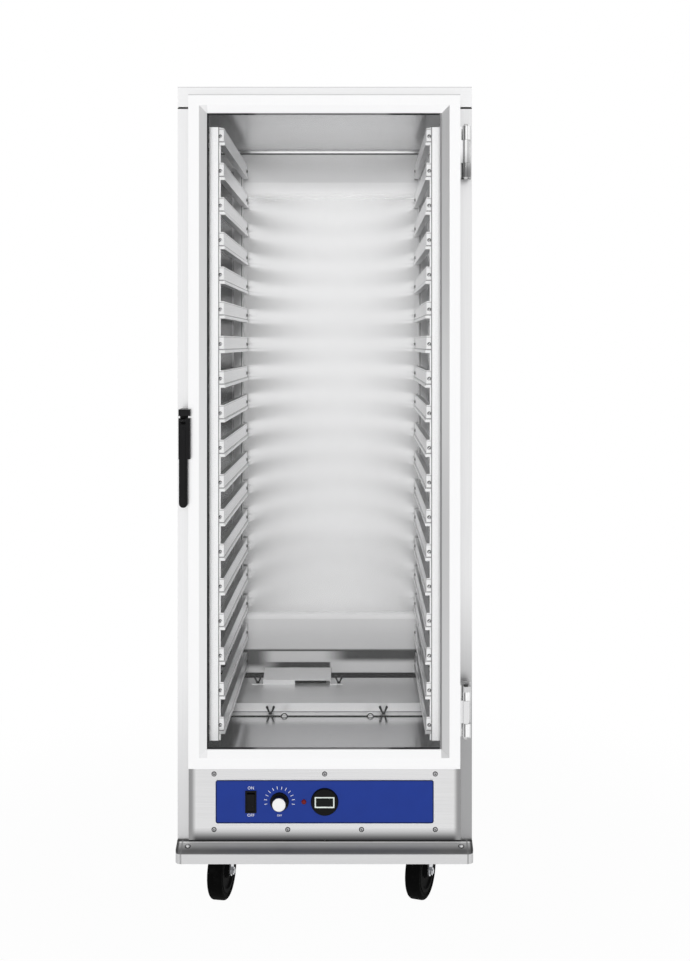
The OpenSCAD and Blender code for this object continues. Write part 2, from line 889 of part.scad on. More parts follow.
// Hub, back plate, leaning blades and the shaft that runs in the motor
module fan_impeller() {
    blade_len = fan_dia / 4;
    shaft_z = z_motor + motor_floor + free_gap;
    color("slategray") translate([fan_x, fan_y, 0]) {
        translate([0, 0, shaft_z]) cylinder(r = fan_shaft_r, h = z_fan + cut - shaft_z);
        translate([0, 0, z_fan]) cylinder(r = fan_hub_r, h = fan_h);
        translate([0, 0, z_fan]) cylinder(r = fan_dia / 2, h = blade_t);
        for (i = [0:fan_blades - 1])
            rotate([0, 0, i * 360 / fan_blades]) translate([fan_dia / 2 - blade_t, 0, z_fan])
                rotate([0, 0, blade_lean]) translate([-blade_len, -blade_t / 2, blade_t / 2])
                    cube([blade_len - blade_t, blade_t, fan_h - blade_t / 2]);
    }
}

// Controls

// Holes for the controls
module panel_cutouts() {
    y0 = y_panel + sheet_t + cut;
    y1 = y_label - cut;
    span([-switch_x - switch_body_w / 2 - seat_gap, y1, z_controls - switch_body_h / 2 - seat_gap],
        [-switch_x + switch_body_w / 2 + seat_gap, y0, z_controls + switch_body_h / 2 + seat_gap]);
    forward_rod(bush_r + seat_gap, -knob_x, z_controls, y0, y1);
    forward_rod(lamp_body_r + seat_gap, -lamp_x, z_controls, y0, y1);
    forward_rod(meter_body_r + seat_gap, 0, z_controls, y0, y1);
}

// Shallow pan that closes the heater compartment
module control_panel() {
    color("gainsboro") difference() {
        span([-panel_w / 2, y_panel, z_panel0], [panel_w / 2, y_jamb, z_panel1]);
        span([-panel_w / 2 + sheet_t, y_panel + sheet_t, z_panel0 + sheet_t],
            [panel_w / 2 - sheet_t, y_jamb + cut, z_panel1 - sheet_t]);
        panel_cutouts();
    }
}

module control_label() {
    color("midnightblue") difference() {
        translate([0, y_panel, z_controls]) rotate([90, 0, 0]) linear_extrude(label_t)
            round_rect(label_w, label_h, label_r);
        panel_cutouts();
    }
}

// Bezel and body with a pocket for the rocker and blind bores for its stubs
module switch_housing() {
    pocket_w = rocker_w + 2 * free_gap;
    pocket_h = rocker_h + 2 * free_gap + 2 * rocker_reach * sin(rocker_lean);
    bore_half = rocker_w / 2 + rocker_stub + free_gap / 2;
    color("black") difference() {
        union() {
            span([-switch_x - switch_w / 2, y_label - bezel_t, z_controls - switch_h / 2],
                [-switch_x + switch_w / 2, y_label, z_controls + switch_h / 2]);
            span([-switch_x - switch_body_w / 2, y_label - cut, z_controls - switch_body_h / 2],
                [-switch_x + switch_body_w / 2, y_panel + switch_body_d, z_controls + switch_body_h / 2]);
        }
        span([-switch_x - pocket_w / 2, y_label - bezel_t - cut, z_controls - pocket_h / 2],
            [-switch_x + pocket_w / 2, y_panel + rocker_pocket_d, z_controls + pocket_h / 2]);
        cross_rod(rocker_pin_r + running_gap, -switch_x - bore_half, -switch_x + bore_half, y_rocker, z_controls);
    }
}

// Rocker with two faces that meet in a shallow hollow, at rest leaning to its lower end
module switch_rocker() {
    h = rocker_h / 2;
    root = 4;
    hollow = 2;
    stub_half = rocker_w / 2 + rocker_stub;
    color("black") {
        translate([-switch_x, y_rocker, z_controls]) rotate([rocker_lean, 0, 0])
            run_x(-rocker_w / 2, rocker_w / 2) polygon([
                [root, root - h], [-rocker_reach, -h], [hollow - rocker_reach, 0], [-rocker_reach, h],
                [root, h - root]
            ]);
        cross_rod(rocker_pin_r, -switch_x - stub_half, -switch_x + stub_half, y_rocker, z_controls);
    }
}

// Body behind the panel, bush through it and the shaft that the knob turns on
module thermostat_body() {
    y0 = y_panel + sheet_t;
    color("dimgray") {
        span([-knob_x - thermostat_w / 2, y0, z_controls - thermostat_h / 2],
            [-knob_x + thermostat_w / 2, y0 + thermostat_d, z_controls + thermostat_h / 2]);
        forward_rod(bush_r, -knob_x, z_controls, y0 + cut, y_label);
        forward_rod(knob_shaft_r, -knob_x, z_controls, y_label + cut, y_label - knob_d / 2);
    }
}

// Black skirt and core, bored for the shaft
module thermostat_knob() {
    bore = knob_shaft_r + running_gap;
    bore_d = knob_d / 2 + free_gap;
    edge = 1.5;
    color("black") forward_turn(-knob_x, z_controls, y_label - knob_gap) polygon([
        [bore, 0], [knob_skirt_r, 0], [knob_skirt_r, knob_skirt_t - 2 * edge],
        [knob_skirt_r - edge, knob_skirt_t], [knob_core_r, knob_skirt_t],
        [knob_core_r, knob_core_d], [0, knob_core_d], [0, bore_d], [bore, bore_d]
    ]);
}

// White cap drawn over the knob's core
module knob_cap() {
    inner_r = knob_core_r + seat_gap;
    edge = 2;
    color("white") forward_turn(-knob_x, z_controls, y_label - knob_gap) polygon([
        [inner_r, knob_skirt_t], [knob_cap_r, knob_skirt_t], [knob_cap_r - 0.8, knob_d - edge],
        [knob_cap_r - 0.8 - edge, knob_d], [0, knob_d], [0, knob_core_d], [inner_r, knob_core_d]
    ]);
}

// Flanged lens with its barrel behind the panel
module pilot_lamp() {
    barrel = 22;
    lens = 6;
    color("red") forward_turn(-lamp_x, z_controls, y_label) polygon([
        [0, -barrel], [lamp_body_r, -barrel], [lamp_body_r, 0], [lamp_r, 0], [lamp_r, lens / 4],
        [lamp_body_r, lens * 0.7], [lamp_body_r / 2, lens * 0.95], [0, lens]
    ]);
}

// Round bezel with a sunk display
module thermometer() {
    edge = 2;
    y_front = y_label - meter_t;
    y_sunk = y_front + display_t + edge / 2;
    color("black") difference() {
        forward_turn(0, z_controls, y_label) polygon([
            [0, -meter_body_d], [meter_body_r, -meter_body_d], [meter_body_r, 0], [meter_r, 0],
            [meter_r, meter_t - 2 * edge], [meter_r - edge, meter_t], [0, meter_t]
        ]);
        span([-display_w / 2, y_front - cut, z_controls - display_h / 2],
            [display_w / 2, y_sunk, z_controls + display_h / 2]);
    }
    color("darkslategray") span(
        [-display_w / 2 + seat_gap, y_sunk - display_t, z_controls - display_h / 2 + seat_gap],
        [display_w / 2 - seat_gap, y_sunk, z_controls + display_h / 2 - seat_gap]);
}

// Domed head
module screw_head() {
    h = screw_r * 0.6;
    rotate_extrude() polygon([
        [0, 0], [screw_r, 0], [screw_r, h / 3], [screw_r * 0.75, h * 0.8], [screw_r * 0.35, h], [0, h]
    ]);
}

// Screws of the control panel and of the ledge
module panel_screws() {
    color("silver") {
        for (x = [-screw_x, 0, screw_x])
            translate([x, y_panel, screw_rows[0]]) rotate([90, 0, 0]) screw_head();
        for (x = [-screw_x, -screw_x / 3, screw_x / 3, screw_x])
            translate([x, y_panel, screw_rows[1]]) rotate([90, 0, 0]) screw_head();
        for (x = [-1, 1])
            translate([x * (half_w - ledge_screw_inset), y_jamb - ledge_flat - ledge_screw_run,
                z_base - ledge_screw_run * tan(ledge_slope)]) rotate([ledge_slope, 0, 0]) screw_head();
    }
}

// Row of poles with a recess at each end of a pole
module terminal_block() {
    poles = 4;
    pole_w = 14;
    block_d = 34;
    block_h = 22;
    recess = 10;
    rib = 2;
    block_x = 90;
    block_setback = 190;
    color("ivory") translate([block_x, y_jamb + block_setback, z_deck]) difference() {
        cube([poles * pole_w, block_d, block_h]);
        for (i = [0:poles - 1], y = [-cut, block_d - recess])
            translate([i * pole_w + rib, y, block_h - recess])
                cube([pole_w - 2 * rib, recess + cut, recess + cut]);
    }
}

// Flanged bush through the back panel
module cord_gland() {
    bore = gland_r - 4;
    flange = gland_r + 5;
    flange_t = 4;
    edge = 2;
    color("black") translate([gland_x, y_back, gland_z]) rotate([-90, 0, 0]) rotate_extrude() polygon([
        [bore, -gland_reach], [gland_r, -gland_reach], [gland_r, 0], [flange, 0], [flange, flange_t],
        [gland_r, gland_reach - edge], [gland_r - edge, gland_reach], [bore, gland_reach]
    ]);
}

// Hinges and latch

// Bore for a hinge pin
module pin_bore(z) {
    translate([x_hinge, y_hinge, z - hinge_h]) cylinder(r = hinge_pin_r + running_gap, h = 2 * hinge_h);
}

// Plate on the jamb, web that stands out from it and the two end knuckles
module frame_leaf(z) {
    z0 = z - hinge_h / 2;
    z1 = z + hinge_h / 2;
    x_web_out = x_hinge + hinge_block_w;
    x_web_in = x_web_out - hinge_web_t;
    web_start = knuckle_r + 3;
    difference() {
        union() {
            span([x_hinge - knuckle_r, y_jamb - leaf_t, z0], [x_web_out + hinge_web_t, y_jamb, z1]);
            span([x_web_in, y_hinge + web_start, z0], [x_web_out, y_jamb, z1]);
            for (k = [z0, z1 - end_knuckle_h]) {
                translate([x_hinge, y_hinge, k]) cylinder(r = knuckle_r, h = end_knuckle_h);
                span([x_hinge, y_hinge - hinge_block_front, k],
                    [x_web_out, y_hinge + knuckle_r, k + end_knuckle_h]);
                span([x_web_in, y_hinge, k], [x_web_out, y_hinge + web_start + cut, k + end_knuckle_h]);
            }
        }
        pin_bore(z);
    }
}

module hinge_frame_leaves() {
    color("silver")
        for (z = hinge_heights) frame_leaf(z);
}

// Plate on the door's edge, and the neck that carries the middle knuckle
module door_leaf(z) {
    mid_h = hinge_h - 2 * end_knuckle_h - 2 * free_gap;
    neck_front = 1;
    difference() {
        union() {
            span([x_door, y_hinge + leaf_start, z - hinge_h / 2],
                [x_door + leaf_t, y_door + leaf_end, z + hinge_h / 2]);
            translate([x_hinge, y_hinge, z - mid_h / 2]) cylinder(r = knuckle_r, h = mid_h);
            span([x_door, y_hinge - neck_front, z - mid_h / 2],
                [x_hinge - hinge_pin_r / 2, y_hinge + knuckle_r, z + mid_h / 2]);
            span([x_door, y_hinge - neck_front, z - mid_h / 2],
                [x_door + leaf_t, y_hinge + leaf_start + cut, z + mid_h / 2]);
        }
        pin_bore(z);
    }
}

module hinge_door_leaves() {
    color("silver")
        for (z = hinge_heights) door_leaf(z);
}

module hinge_pins() {
    color("whitesmoke")
        for (z = hinge_heights) translate([x_hinge, y_hinge, z]) {
            cylinder(r = hinge_pin_r, h = hinge_h, center = true);
            for (side = [0, 180])
                rotate([side, 0, 0]) translate([0, 0, hinge_h / 2]) cylinder(r1 = cap_r, r2 = cap_r - 1, h = cap_h);
        }
}

module strike_plate() {
    color("silver") span([x_latch - 3, y_jamb - strike_t, z_latch0 - 5],
        [x_latch + latch_block_w - 6, y_jamb, z_latch1 - 3]);
}

// Block on the door's edge, with the hooded cap and the boss that carries the lever
module latch_body() {
    x1 = x_latch + latch_block_w;
    y_cap = y_lever + ridge_h;
    color("black") difference() {
        union() {
            span([x_latch, latch_block_y0, z_latch0], [x1, y_jamb - strike_t - gasket_gap, z_latch1]);
            span([x_latch, y_cap, z_latch1 - latch_cap_h], [x1 - free_gap, latch_block_y0 + cut, z_latch1]);
            span([x_latch, y_cap, z_latch1 - latch_cap_h], [x_latch + lever_w, y_door - free_gap, z_latch1]);
            span([x_boss, y_latch_pin, latch_z - boss_r],
                [x_boss + boss_w, latch_block_y0 + cut, latch_z + boss_r]);
            cross_rod(boss_r, x_boss, x_boss + boss_w, y_latch_pin, latch_z);
        }
        cross_rod(latch_pin_r + running_gap, x_boss - cut, x_boss + boss_w + cut, y_latch_pin, latch_z);
    }
}

// Outline of the grip, drawn in by an inset, with a round end
module grip_outline(inset, top) {
    end_r = grip_w / 2;
    z_end = latch_z - lever_len + end_r;
    translate([x_latch + 1 + inset, z_end]) square([grip_w - 2 * inset, latch_z + top - z_end]);
    translate([x_latch + 1 + end_r, z_end]) circle(end_r - inset);
}

// Lever with a broad head, a narrower grip and a raised ridge
module latch_lever() {
    ridge_inset = 5;
    slot_z = boss_r + 3.5;
    y_back_face = y_lever + lever_t;
    color("black") difference() {
        union() {
            span([x_latch, y_lever + ridge_h, latch_z - lever_head_len],
                [x_latch + lever_w, y_back_face, latch_z + lever_top]);
            run_y(y_lever + ridge_h, y_back_face) grip_outline(0, 0);
            run_y(y_lever, y_lever + ridge_h + cut) grip_outline(ridge_inset, -2 * slot_z);
        }
        span([x_boss - free_gap, y_lever - cut, latch_z - slot_z],
            [x_boss + boss_w + free_gap, y_door, latch_z + lever_top + cut]);
        cross_rod(latch_pin_r + running_gap, x_boss - latch_pin_end - seat_gap,
            x_boss + boss_w + latch_pin_end + seat_gap, y_latch_pin, latch_z);
    }
}

module latch_pin() {
    color("silver") cross_rod(latch_pin_r, x_boss - latch_pin_end, x_boss + boss_w + latch_pin_end,
        y_latch_pin, latch_z);
}

// Door

// Section of the hollow frame: u runs in from the door's edge, v back from its front face
module frame_section() {
    difference() {
        polygon([
            [0, 0], [land_w, 0], [frame_w, bevel_d], [frame_w, pane_y], [groove_u, pane_y],
            [groove_u, pane_y + pane_slot], [frame_w, pane_y + pane_slot],
            [frame_w, door_t - rear_bevel], [frame_w - rear_bevel, door_t], [0, door_t]
        ]);
        polygon([
            [frame_wall, frame_wall], [land_w - frame_wall, frame_wall],
            [groove_u - frame_wall, frame_wall + (groove_u - land_w) * bevel_d / (frame_w - land_w)],
            [groove_u - frame_wall, door_t - rear_bevel], [frame_w - rear_bevel - frame_wall, door_t - frame_wall],
            [frame_wall, door_t - frame_wall]
        ]);
    }
}

// Frame member along X with its outer edge at the bottom, mitred at both ends
module mitred_member(len) {
    mitre = frame_w + cut;
    intersection() {
        run_x(-len / 2, len / 2) mirror([1, -1]) frame_section();
        run_y(-cut, door_t + cut) polygon([
            [-len / 2 - cut, -cut], [len / 2 + cut, -cut], [len / 2 - mitre, mitre], [mitre - len / 2, mitre]
        ]);
    }
}

module door_stile_right() {
    color("white") translate([x_door, y_door, (z_door0 + z_door1) / 2]) rotate([0, -90, 0])
        mitred_member(z_door1 - z_door0);
}

module door_stile_left() {
    color("white") translate([-x_door, y_door, (z_door0 + z_door1) / 2]) rotate([0, 90, 0])
        mitred_member(z_door1 - z_door0);
}

module door_rail_bottom() {
    color("white") translate([0, y_door, z_door0]) mitred_member(2 * x_door);
}

module door_rail_top() {
    color("white") translate([0, y_door, z_door1]) rotate([0, 180, 0]) mitred_member(2 * x_door);
}

module door_window() {
    edge = frame_w - pane_grip;
    color("lightcyan", 0.3) span([-x_door + edge, y_door + pane_y, z_door0 + edge],
        [x_door - edge, y_door + pane_y + pane_t, z_door1 - edge]);
}

// Flat ring round the door, its outer edge drawn in by an inset
module seal_ring(inset, width, y0, y1) {
    run_y(y0, y1) difference() {
        translate([-x_door + inset, z_door0 + inset])
            square([2 * (x_door - inset), z_door1 - z_door0 - 2 * inset]);
        translate([-x_door + inset + width, z_door0 + inset + width])
            square([2 * (x_door - inset - width), z_door1 - z_door0 - 2 * (inset + width)]);
    }
}

// Soft seal: a broad base on the door and a narrower lip towards the jamb
module door_gasket() {
    lip = gasket_w / 4;
    color("dimgray") {
        seal_ring(gasket_inset, gasket_w, y_door_back, y_door_back + gasket_base_t);
        seal_ring(gasket_inset + lip, gasket_w - 2 * lip, y_door_back, y_jamb - gasket_gap);
    }
}

// Casters

// Top plates, each with its race, king pin and the head that holds the crown
module caster_plates() {
    head_gap = king_head_h + free_gap;
    color("silver")
        for (spot = caster_spots) translate([spot[0], spot[1], 0]) {
            translate([-caster_plate_w / 2, -caster_plate_d / 2, z_base - plate_t])
                cube([caster_plate_w, caster_plate_d, plate_t]);
            translate([0, 0, z_crown + free_gap])
                cylinder(r1 = crown_r * 0.65, r2 = crown_r * 0.8, h = race_h - free_gap + cut);
            translate([0, 0, z_crown - crown_t - head_gap])
                cylinder(r = king_pin_r, h = race_h + crown_t + head_gap);
            translate([0, 0, z_crown - crown_t - head_gap]) cylinder(r = king_head_r, h = king_head_h);
        }
}

// Tapered leg in side view, cut off level inside the crown
module fork_leg_outline() {
    rise = z_fork - wheel_r;
    intersection() {
        rotate([0, 0, -atan(trail / rise)]) taper_bar(fork_top_r, fork_end_r, norm([trail, rise]));
        translate([-trail - fork_top_r, -z_fork]) square([2 * (trail + fork_top_r), z_fork]);
    }
}

// Crown, two legs and the axle bolt with its nut, drawn with the wheel trailing to the front
module caster_fork() {
    outer = fork_gap / 2 + fork_t;
    difference() {
        union() {
            translate([0, 0, z_crown - crown_t]) cylinder(r = crown_r, h = crown_t);
            for (x = [-outer, fork_gap / 2])
                translate([x, 0, z_fork]) rotate([90, 0, 90]) linear_extrude(fork_t) fork_leg_outline();
        }
        translate([0, 0, z_crown - crown_t - cut]) cylinder(r = king_pin_r + running_gap, h = crown_t + 2 * cut);
        cross_rod(axle_r + seat_gap, -outer - cut, outer + cut, -trail, wheel_r);
    }
    cross_rod(axle_r, -outer - bolt_head_t / 2, outer + bolt_head_t + 2, -trail, wheel_r);
    for (x = [-outer - bolt_head_t, outer])
        translate([x, -trail, wheel_r]) rotate([0, 90, 0]) cylinder(r = bolt_head_r, h = bolt_head_t, $fn = 6);
}

// Tyre with a rounded tread, and a dished hub that turns on the axle
module caster_wheel() {
    half = wheel_w / 2;
    wall = half - hub_proud;
    dish = half - 5;
    lip = half - 1;
    bore = axle_r + running_gap;
    translate([0, -trail, wheel_r]) rotate([0, 90, 0]) {
        color("black") rotate_extrude() {
            translate([hub_r + seat_gap, -wall]) square([wheel_r - hub_r - seat_gap - tread_r, 2 * wall]);
            translate([wheel_r - 2 * tread_r, tread_r - half]) square([2 * tread_r, wheel_w - 2 * tread_r]);
            for (side = [-1, 1])
                translate([wheel_r - tread_r, side * (half - tread_r)]) circle(tread_r);
        }
        color("dimgray") rotate_extrude() polygon([
            [bore, -half - hub_proud], [hub_boss_r, -half - hub_proud], [hub_boss_r + 2, -dish],
            [hub_r - 8, -dish], [hub_r - 4, -lip], [hub_r + hub_lip, -lip], [hub_r + hub_lip, -wall],
            [hub_r, -wall], [hub_r, wall], [hub_r + hub_lip, wall], [hub_r + hub_lip, lip], [hub_r - 4, lip],
            [hub_r - 8, dish], [hub_boss_r + 2, dish], [hub_boss_r, half + hub_proud], [bore, half + hub_proud]
        ]);
    }
}

// Places a caster piece at one of the four spots, at the angle it stands
module at_caster(i) {
    translate([caster_spots[i][0], caster_spots[i][1], 0]) rotate([0, 0, caster_turn[i]]) children();
}

module caster_fork_fl() {
    color("silver") at_caster(0) caster_fork();
}

module caster_fork_fr() {
    color("silver") at_caster(1) caster_fork();
}

module caster_fork_rl() {
    color("silver") at_caster(2) caster_fork();
}

module caster_fork_rr() {
    color("silver") at_caster(3) caster_fork();
}

module caster_wheel_fl() {
    at_caster(0) caster_wheel();
}

module caster_wheel_fr() {
    at_caster(1) caster_wheel();
}

module caster_wheel_rl() {
    at_caster(2) caster_wheel();
}

module caster_wheel_rr() {
    at_caster(3) caster_wheel();
}

base_pan();
front_ledge();
side_panel_left();
side_panel_right();
back_panel();
top_panel();
door_header();
door_sill();
liner_left();
liner_right();
liner_back();
liner_top();
floor_pan();
rack_uprights_left();
rack_uprights_right();
rack_brackets();
pan_slides_left();
pan_slides_right();
slide_rivets();
heater_cover();
air_hood();
wing_screws();
heater_well();
heating_element();
fan_motor();
fan_impeller();
control_panel();
control_label();
switch_housing();
switch_rocker();
thermostat_body();
thermostat_knob();
knob_cap();
pilot_lamp();
thermometer();
panel_screws();
terminal_block();
cord_gland();
hinge_frame_leaves();
hinge_door_leaves();
hinge_pins();
strike_plate();
latch_body();
latch_lever();
latch_pin();
door_stile_left();
door_stile_right();
door_rail_top();
door_rail_bottom();
door_window();
door_gasket();
caster_plates();
caster_fork_fl();
caster_fork_fr();
caster_fork_rl();
caster_fork_rr();
caster_wheel_fl();
caster_wheel_fr();
caster_wheel_rl();
caster_wheel_rr();
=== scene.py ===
"""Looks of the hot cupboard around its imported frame.

Finishes, printed marks, small hardware, stage and camera.
"""

import json
import logging
import math
from dataclasses import dataclass
from enum import Enum
from typing import Any, Protocol, Sequence

import bmesh
import bpy
from mathutils import Matrix, Vector


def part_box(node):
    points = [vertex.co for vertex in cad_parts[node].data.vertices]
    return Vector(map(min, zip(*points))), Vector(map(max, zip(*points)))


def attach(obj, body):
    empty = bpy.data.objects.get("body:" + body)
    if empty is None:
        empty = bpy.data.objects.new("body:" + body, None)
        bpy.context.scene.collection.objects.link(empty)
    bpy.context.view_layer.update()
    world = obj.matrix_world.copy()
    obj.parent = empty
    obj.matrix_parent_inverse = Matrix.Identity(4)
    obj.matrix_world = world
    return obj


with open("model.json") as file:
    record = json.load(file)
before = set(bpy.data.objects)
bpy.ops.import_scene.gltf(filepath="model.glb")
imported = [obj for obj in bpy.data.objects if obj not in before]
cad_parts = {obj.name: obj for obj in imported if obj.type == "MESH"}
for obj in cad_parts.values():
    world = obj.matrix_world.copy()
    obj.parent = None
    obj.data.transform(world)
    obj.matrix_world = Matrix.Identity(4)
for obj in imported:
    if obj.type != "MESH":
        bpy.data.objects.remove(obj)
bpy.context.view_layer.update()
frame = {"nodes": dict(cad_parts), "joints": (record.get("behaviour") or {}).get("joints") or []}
LOG = logging.getLogger("hot_cupboard")
MM = 0.001
SHARP = 0.3 * MM  # soft edge of a printed line
WELD = 0.001 * MM  # points nearer than this are one
COOL = 0.005  # extra blue of most greys
WHITE = (1.0, 1.0, 1.0, 1.0)
QUARTER = math.pi / 2
DISC_STEPS = 20
DOME_STEPS = (16, 8)

Pair = tuple[float, float]
Triple = tuple[float, float, float]
Colour = Triple
Number = "Wire | float"
Material = bpy.types.Material
Mesh = bmesh.types.BMesh


class Grain(Enum):
    """Direction in which a sheet was brushed, as the stretch of its grain along X, Y and Z."""

    ALONG_X = (2.0, 260.0, 260.0)
    ALONG_Y = (260.0, 2.0, 260.0)
    ALONG_Z = (260.0, 260.0, 2.0)


class Axis(Enum):
    """Axis of the shared frame, as its place in a vector."""

    X = 0
    Y = 1
    Z = 2


X, Y, Z = Axis


@dataclass(frozen=True)
class Wire:
    """One output of a shader graph, on which Python's operators add Math nodes."""

    graph: "Graph"
    socket: bpy.types.NodeSocket

    def __add__(self, other: Number) -> "Wire":
        """Sum."""
        return self.graph.math("ADD", self, other)

    def __sub__(self, other: Number) -> "Wire":
        """Difference."""
        return self.graph.math("SUBTRACT", self, other)

    def __rsub__(self, other: float) -> "Wire":
        """Difference with a number in front."""
        return self.graph.math("SUBTRACT", other, self)

    def __mul__(self, other: Number) -> "Wire":
        """Product."""
        return self.graph.math("MULTIPLY", self, other)

    __radd__, __rmul__ = __add__, __mul__

    def __abs__(self) -> "Wire":
        """Size without its sign."""
        return self.graph.math("ABSOLUTE", self)

    def at_least(self, other: Number) -> "Wire":
        """The larger of the two."""
        return self.graph.math("MAXIMUM", self, other)

    def at_most(self, other: Number) -> "Wire":
        """The smaller of the two."""
        return self.graph.math("MINIMUM", self, other)


class Graph:
    """Node tree of one material or of the world, with its output node."""

    def __init__(self, owner: Material | bpy.types.World,
                 output: str = "ShaderNodeOutputMaterial") -> None:
        """Empties a node tree down to a new output node.

        Args:
            owner: The material or world that the tree belongs to.
            output: Type of the output node.
        """
        owner.use_nodes = True
        self.owner = owner
        self.tree = owner.node_tree
        self.tree.nodes.clear()
        self.end = self.node(output)

    @classmethod
    def new(cls, name: str) -> "Graph":
        """Graph of a new material."""
        return cls(bpy.data.materials.new(name))

    def node(self, kind: str, settings: dict[str, Any] | None = None,
             sockets: dict[Any, Any] | None = None) -> bpy.types.Node:
        """Adds a node.

        Args:
            kind: The node's type.
            settings: Attributes of the node, set before its sockets.
            sockets: Values or wires for its inputs, by name or number.

        Returns:
            The node.
        """
        made = self.tree.nodes.new(kind)
        for name, value in (settings or {}).items():
            setattr(made, name, value)
        for name, value in (sockets or {}).items():
            if isinstance(value, Wire):
                self.tree.links.new(value.socket, made.inputs[name])
            else:
                made.inputs[name].default_value = value
        return made

    def wire(self, kind: str, output: Any = 0, settings: dict[str, Any] | None = None,
             sockets: dict[Any, Any] | None = None) -> Wire:
        """Adds a node and returns one of its outputs.

        Args:
            kind: The node's type.
            output: Name or number of the output.
            settings: Attributes of the node.
            sockets: Values or wires for its inputs.

        Returns:
            The output.
        """
        return Wire(self, self.node(kind, settings, sockets).outputs[output])

    def math(self, operation: str, *values: Number) -> Wire:
        """One Math node on the values."""
        return self.wire("ShaderNodeMath", 0, {"operation": operation}, dict(enumerate(values)))

    def place(self) -> Wire:
        """Position on the piece, in metres of the shared frame at rest."""
        return self.wire("ShaderNodeTexCoord", "Object")

    def parts(self, vector: Wire) -> list[Wire]:
        """The three parts of a vector."""
        split = self.node("ShaderNodeSeparateXYZ", None, {0: vector})
        return [Wire(self, output) for output in split.outputs]

    def vector(self, operation: str, a: Wire, b: Any) -> Wire:
        """One Vector Math node on a and b."""
        return self.wire("ShaderNodeVectorMath", "Vector", {"operation": operation}, {0: a, 1: b})

    def length(self, vector: Wire) -> Wire:
        """Length of a vector."""
        return self.wire("ShaderNodeVectorMath", "Value", {"operation": "LENGTH"}, {0: vector})

    def noise(self, vector: Wire, scale: float, detail: float = 2.0) -> Wire:
        """Soft noise from 0 to 1."""
        return self.wire("ShaderNodeTexNoise", "Fac", None,
                         {"Vector": vector, "Scale": scale, "Detail": detail})

    def ease(self, value: Wire, start: float, end: float,
             low: float = 0.0, high: float = 1.0) -> Wire:
        """Smooth step from low at start to high at end."""
        ends = {"From Min": start, "From Max": end, "To Min": low, "To Max": high}
        return self.wire("ShaderNodeMapRange", 0, {"interpolation_type": "SMOOTHSTEP"},
                         {"Value": value, **ends})

    def mix(self, factor: Number, a: Any, b: Any) -> Wire:
        """Blend of two colours.

        Args:
            factor: 0 for a, 1 for b.
            a: First colour or wire.
            b: Second colour or wire.

        Returns:
            The colour.
        """
        first, second = (c if isinstance(c, Wire) else (*c, 1.0) for c in (a, b))
        return self.wire("ShaderNodeMix", 2, {"data_type": "RGBA"}, {0: factor, 6: first, 7: second})

    def bump(self, height: Wire, strength: float, depth: float) -> Wire:
        """Normal bent by a height.

        Args:
            height: The height, about 0 to 1.
            strength: Share of the effect.
            depth: Depth in metres at a height of 1.

        Returns:
            The normal.
        """
        return self.wire("ShaderNodeBump", 0, None,
                         {"Strength": strength, "Distance": depth, "Height": height})

    def close(self, shader: Wire) -> Any:
        """Ends the graph with a shader and returns the material or world."""
        self.tree.links.new(shader.socket, self.end.inputs["Surface"])
        return self.owner

    def surface(self, sockets: dict[str, Any]) -> Material:
        """Ends the graph with a Principled shader.

        Args:
            sockets: Values or wires for the shader's inputs.

        Returns:
            The finished material.
        """
        whole = {k: (*v, 1.0) if isinstance(v, tuple) else v for k, v in sockets.items()}
        return self.close(self.wire("ShaderNodeBsdfPrincipled", 0, None, whole))


@dataclass(frozen=True)
class Span:
    """Stretch along one axis with soft ends, mirrored about the middle or repeated where asked."""

    axis: Axis
    start: float
    end: float
    rise: float = 0.0004
    fall: float = 0.0004
    mirrored: bool = False
    foot: float = 0.0
    pitch: float = 0.0

    def cover(self, g: Graph, place: Wire) -> Wire:
        """How far a place lies in the stretch.

        Args:
            g: The graph to work in.
            place: The position on the piece.

        Returns:
            1 inside, 0 outside.
        """
        along = g.parts(place)[self.axis.value]
        if self.mirrored:
            along = abs(along)
        if self.pitch:
            along = g.math("FLOORED_MODULO", along - self.foot, self.pitch)
        begun = g.ease(along, self.start - self.rise, self.start)
        return begun * g.ease(along, self.end, self.end + self.fall, 1.0, 0.0)


@dataclass(frozen=True)
class Mark:
    """Part of a sheet in another tone, where all its stretches hold."""

    colour: Colour
    spans: tuple[Span, ...]
    share: float = 1.0

    def blend(self, g: Graph, place: Wire, colour: Wire) -> Wire:
        """Lays the tone over a colour.

        Args:
            g: The graph to work in.
            place: The position on the piece.
            colour: The colour so far.

        Returns:
            The colour with the mark.
        """
        cover = self.spans[0].cover(g, place)
        for span in self.spans[1:]:
            cover = cover * span.cover(g, place)
        return g.mix(cover * self.share, colour, self.colour)


def grey(level: float, blue: float = COOL) -> Colour:
    """Grey with a little more or less blue."""
    return level, level, level + blue


def tone(level: float, *spans: Span, share: float = 1.0, blue: float = COOL) -> Mark:
    """Mark in a grey, where all the stretches hold."""
    return Mark(grey(level, blue), spans, share)


def dimmed(colour: Colour, share: float) -> Colour:
    """Colour times a share."""
    return tuple(c * share for c in colour)


FRONT = Span(Y, -1.0, -0.3265)
BEVEL = Span(Y, -0.3726, 1.0)
RISER = Span(Y, 0.0, 0.0688)
TIERS = {"foot": 0.3746, "pitch": 0.0762}
# Painted shadow: the top 2 mm of each side skin is near black, for the shade in the gap under the
# cap.
CAP_GAP_SHADOW = tone(0.015, Span(Z, 1.745, 2.0), blue=0.0)


class Finish(Protocol):
    """Look that can be made into a material.

    A noise is given as scale and detail, a bump as strength and depth, a gloss as its plain share
    and what each noise adds.
    """

    def build(self) -> Material:
        """Makes the material."""


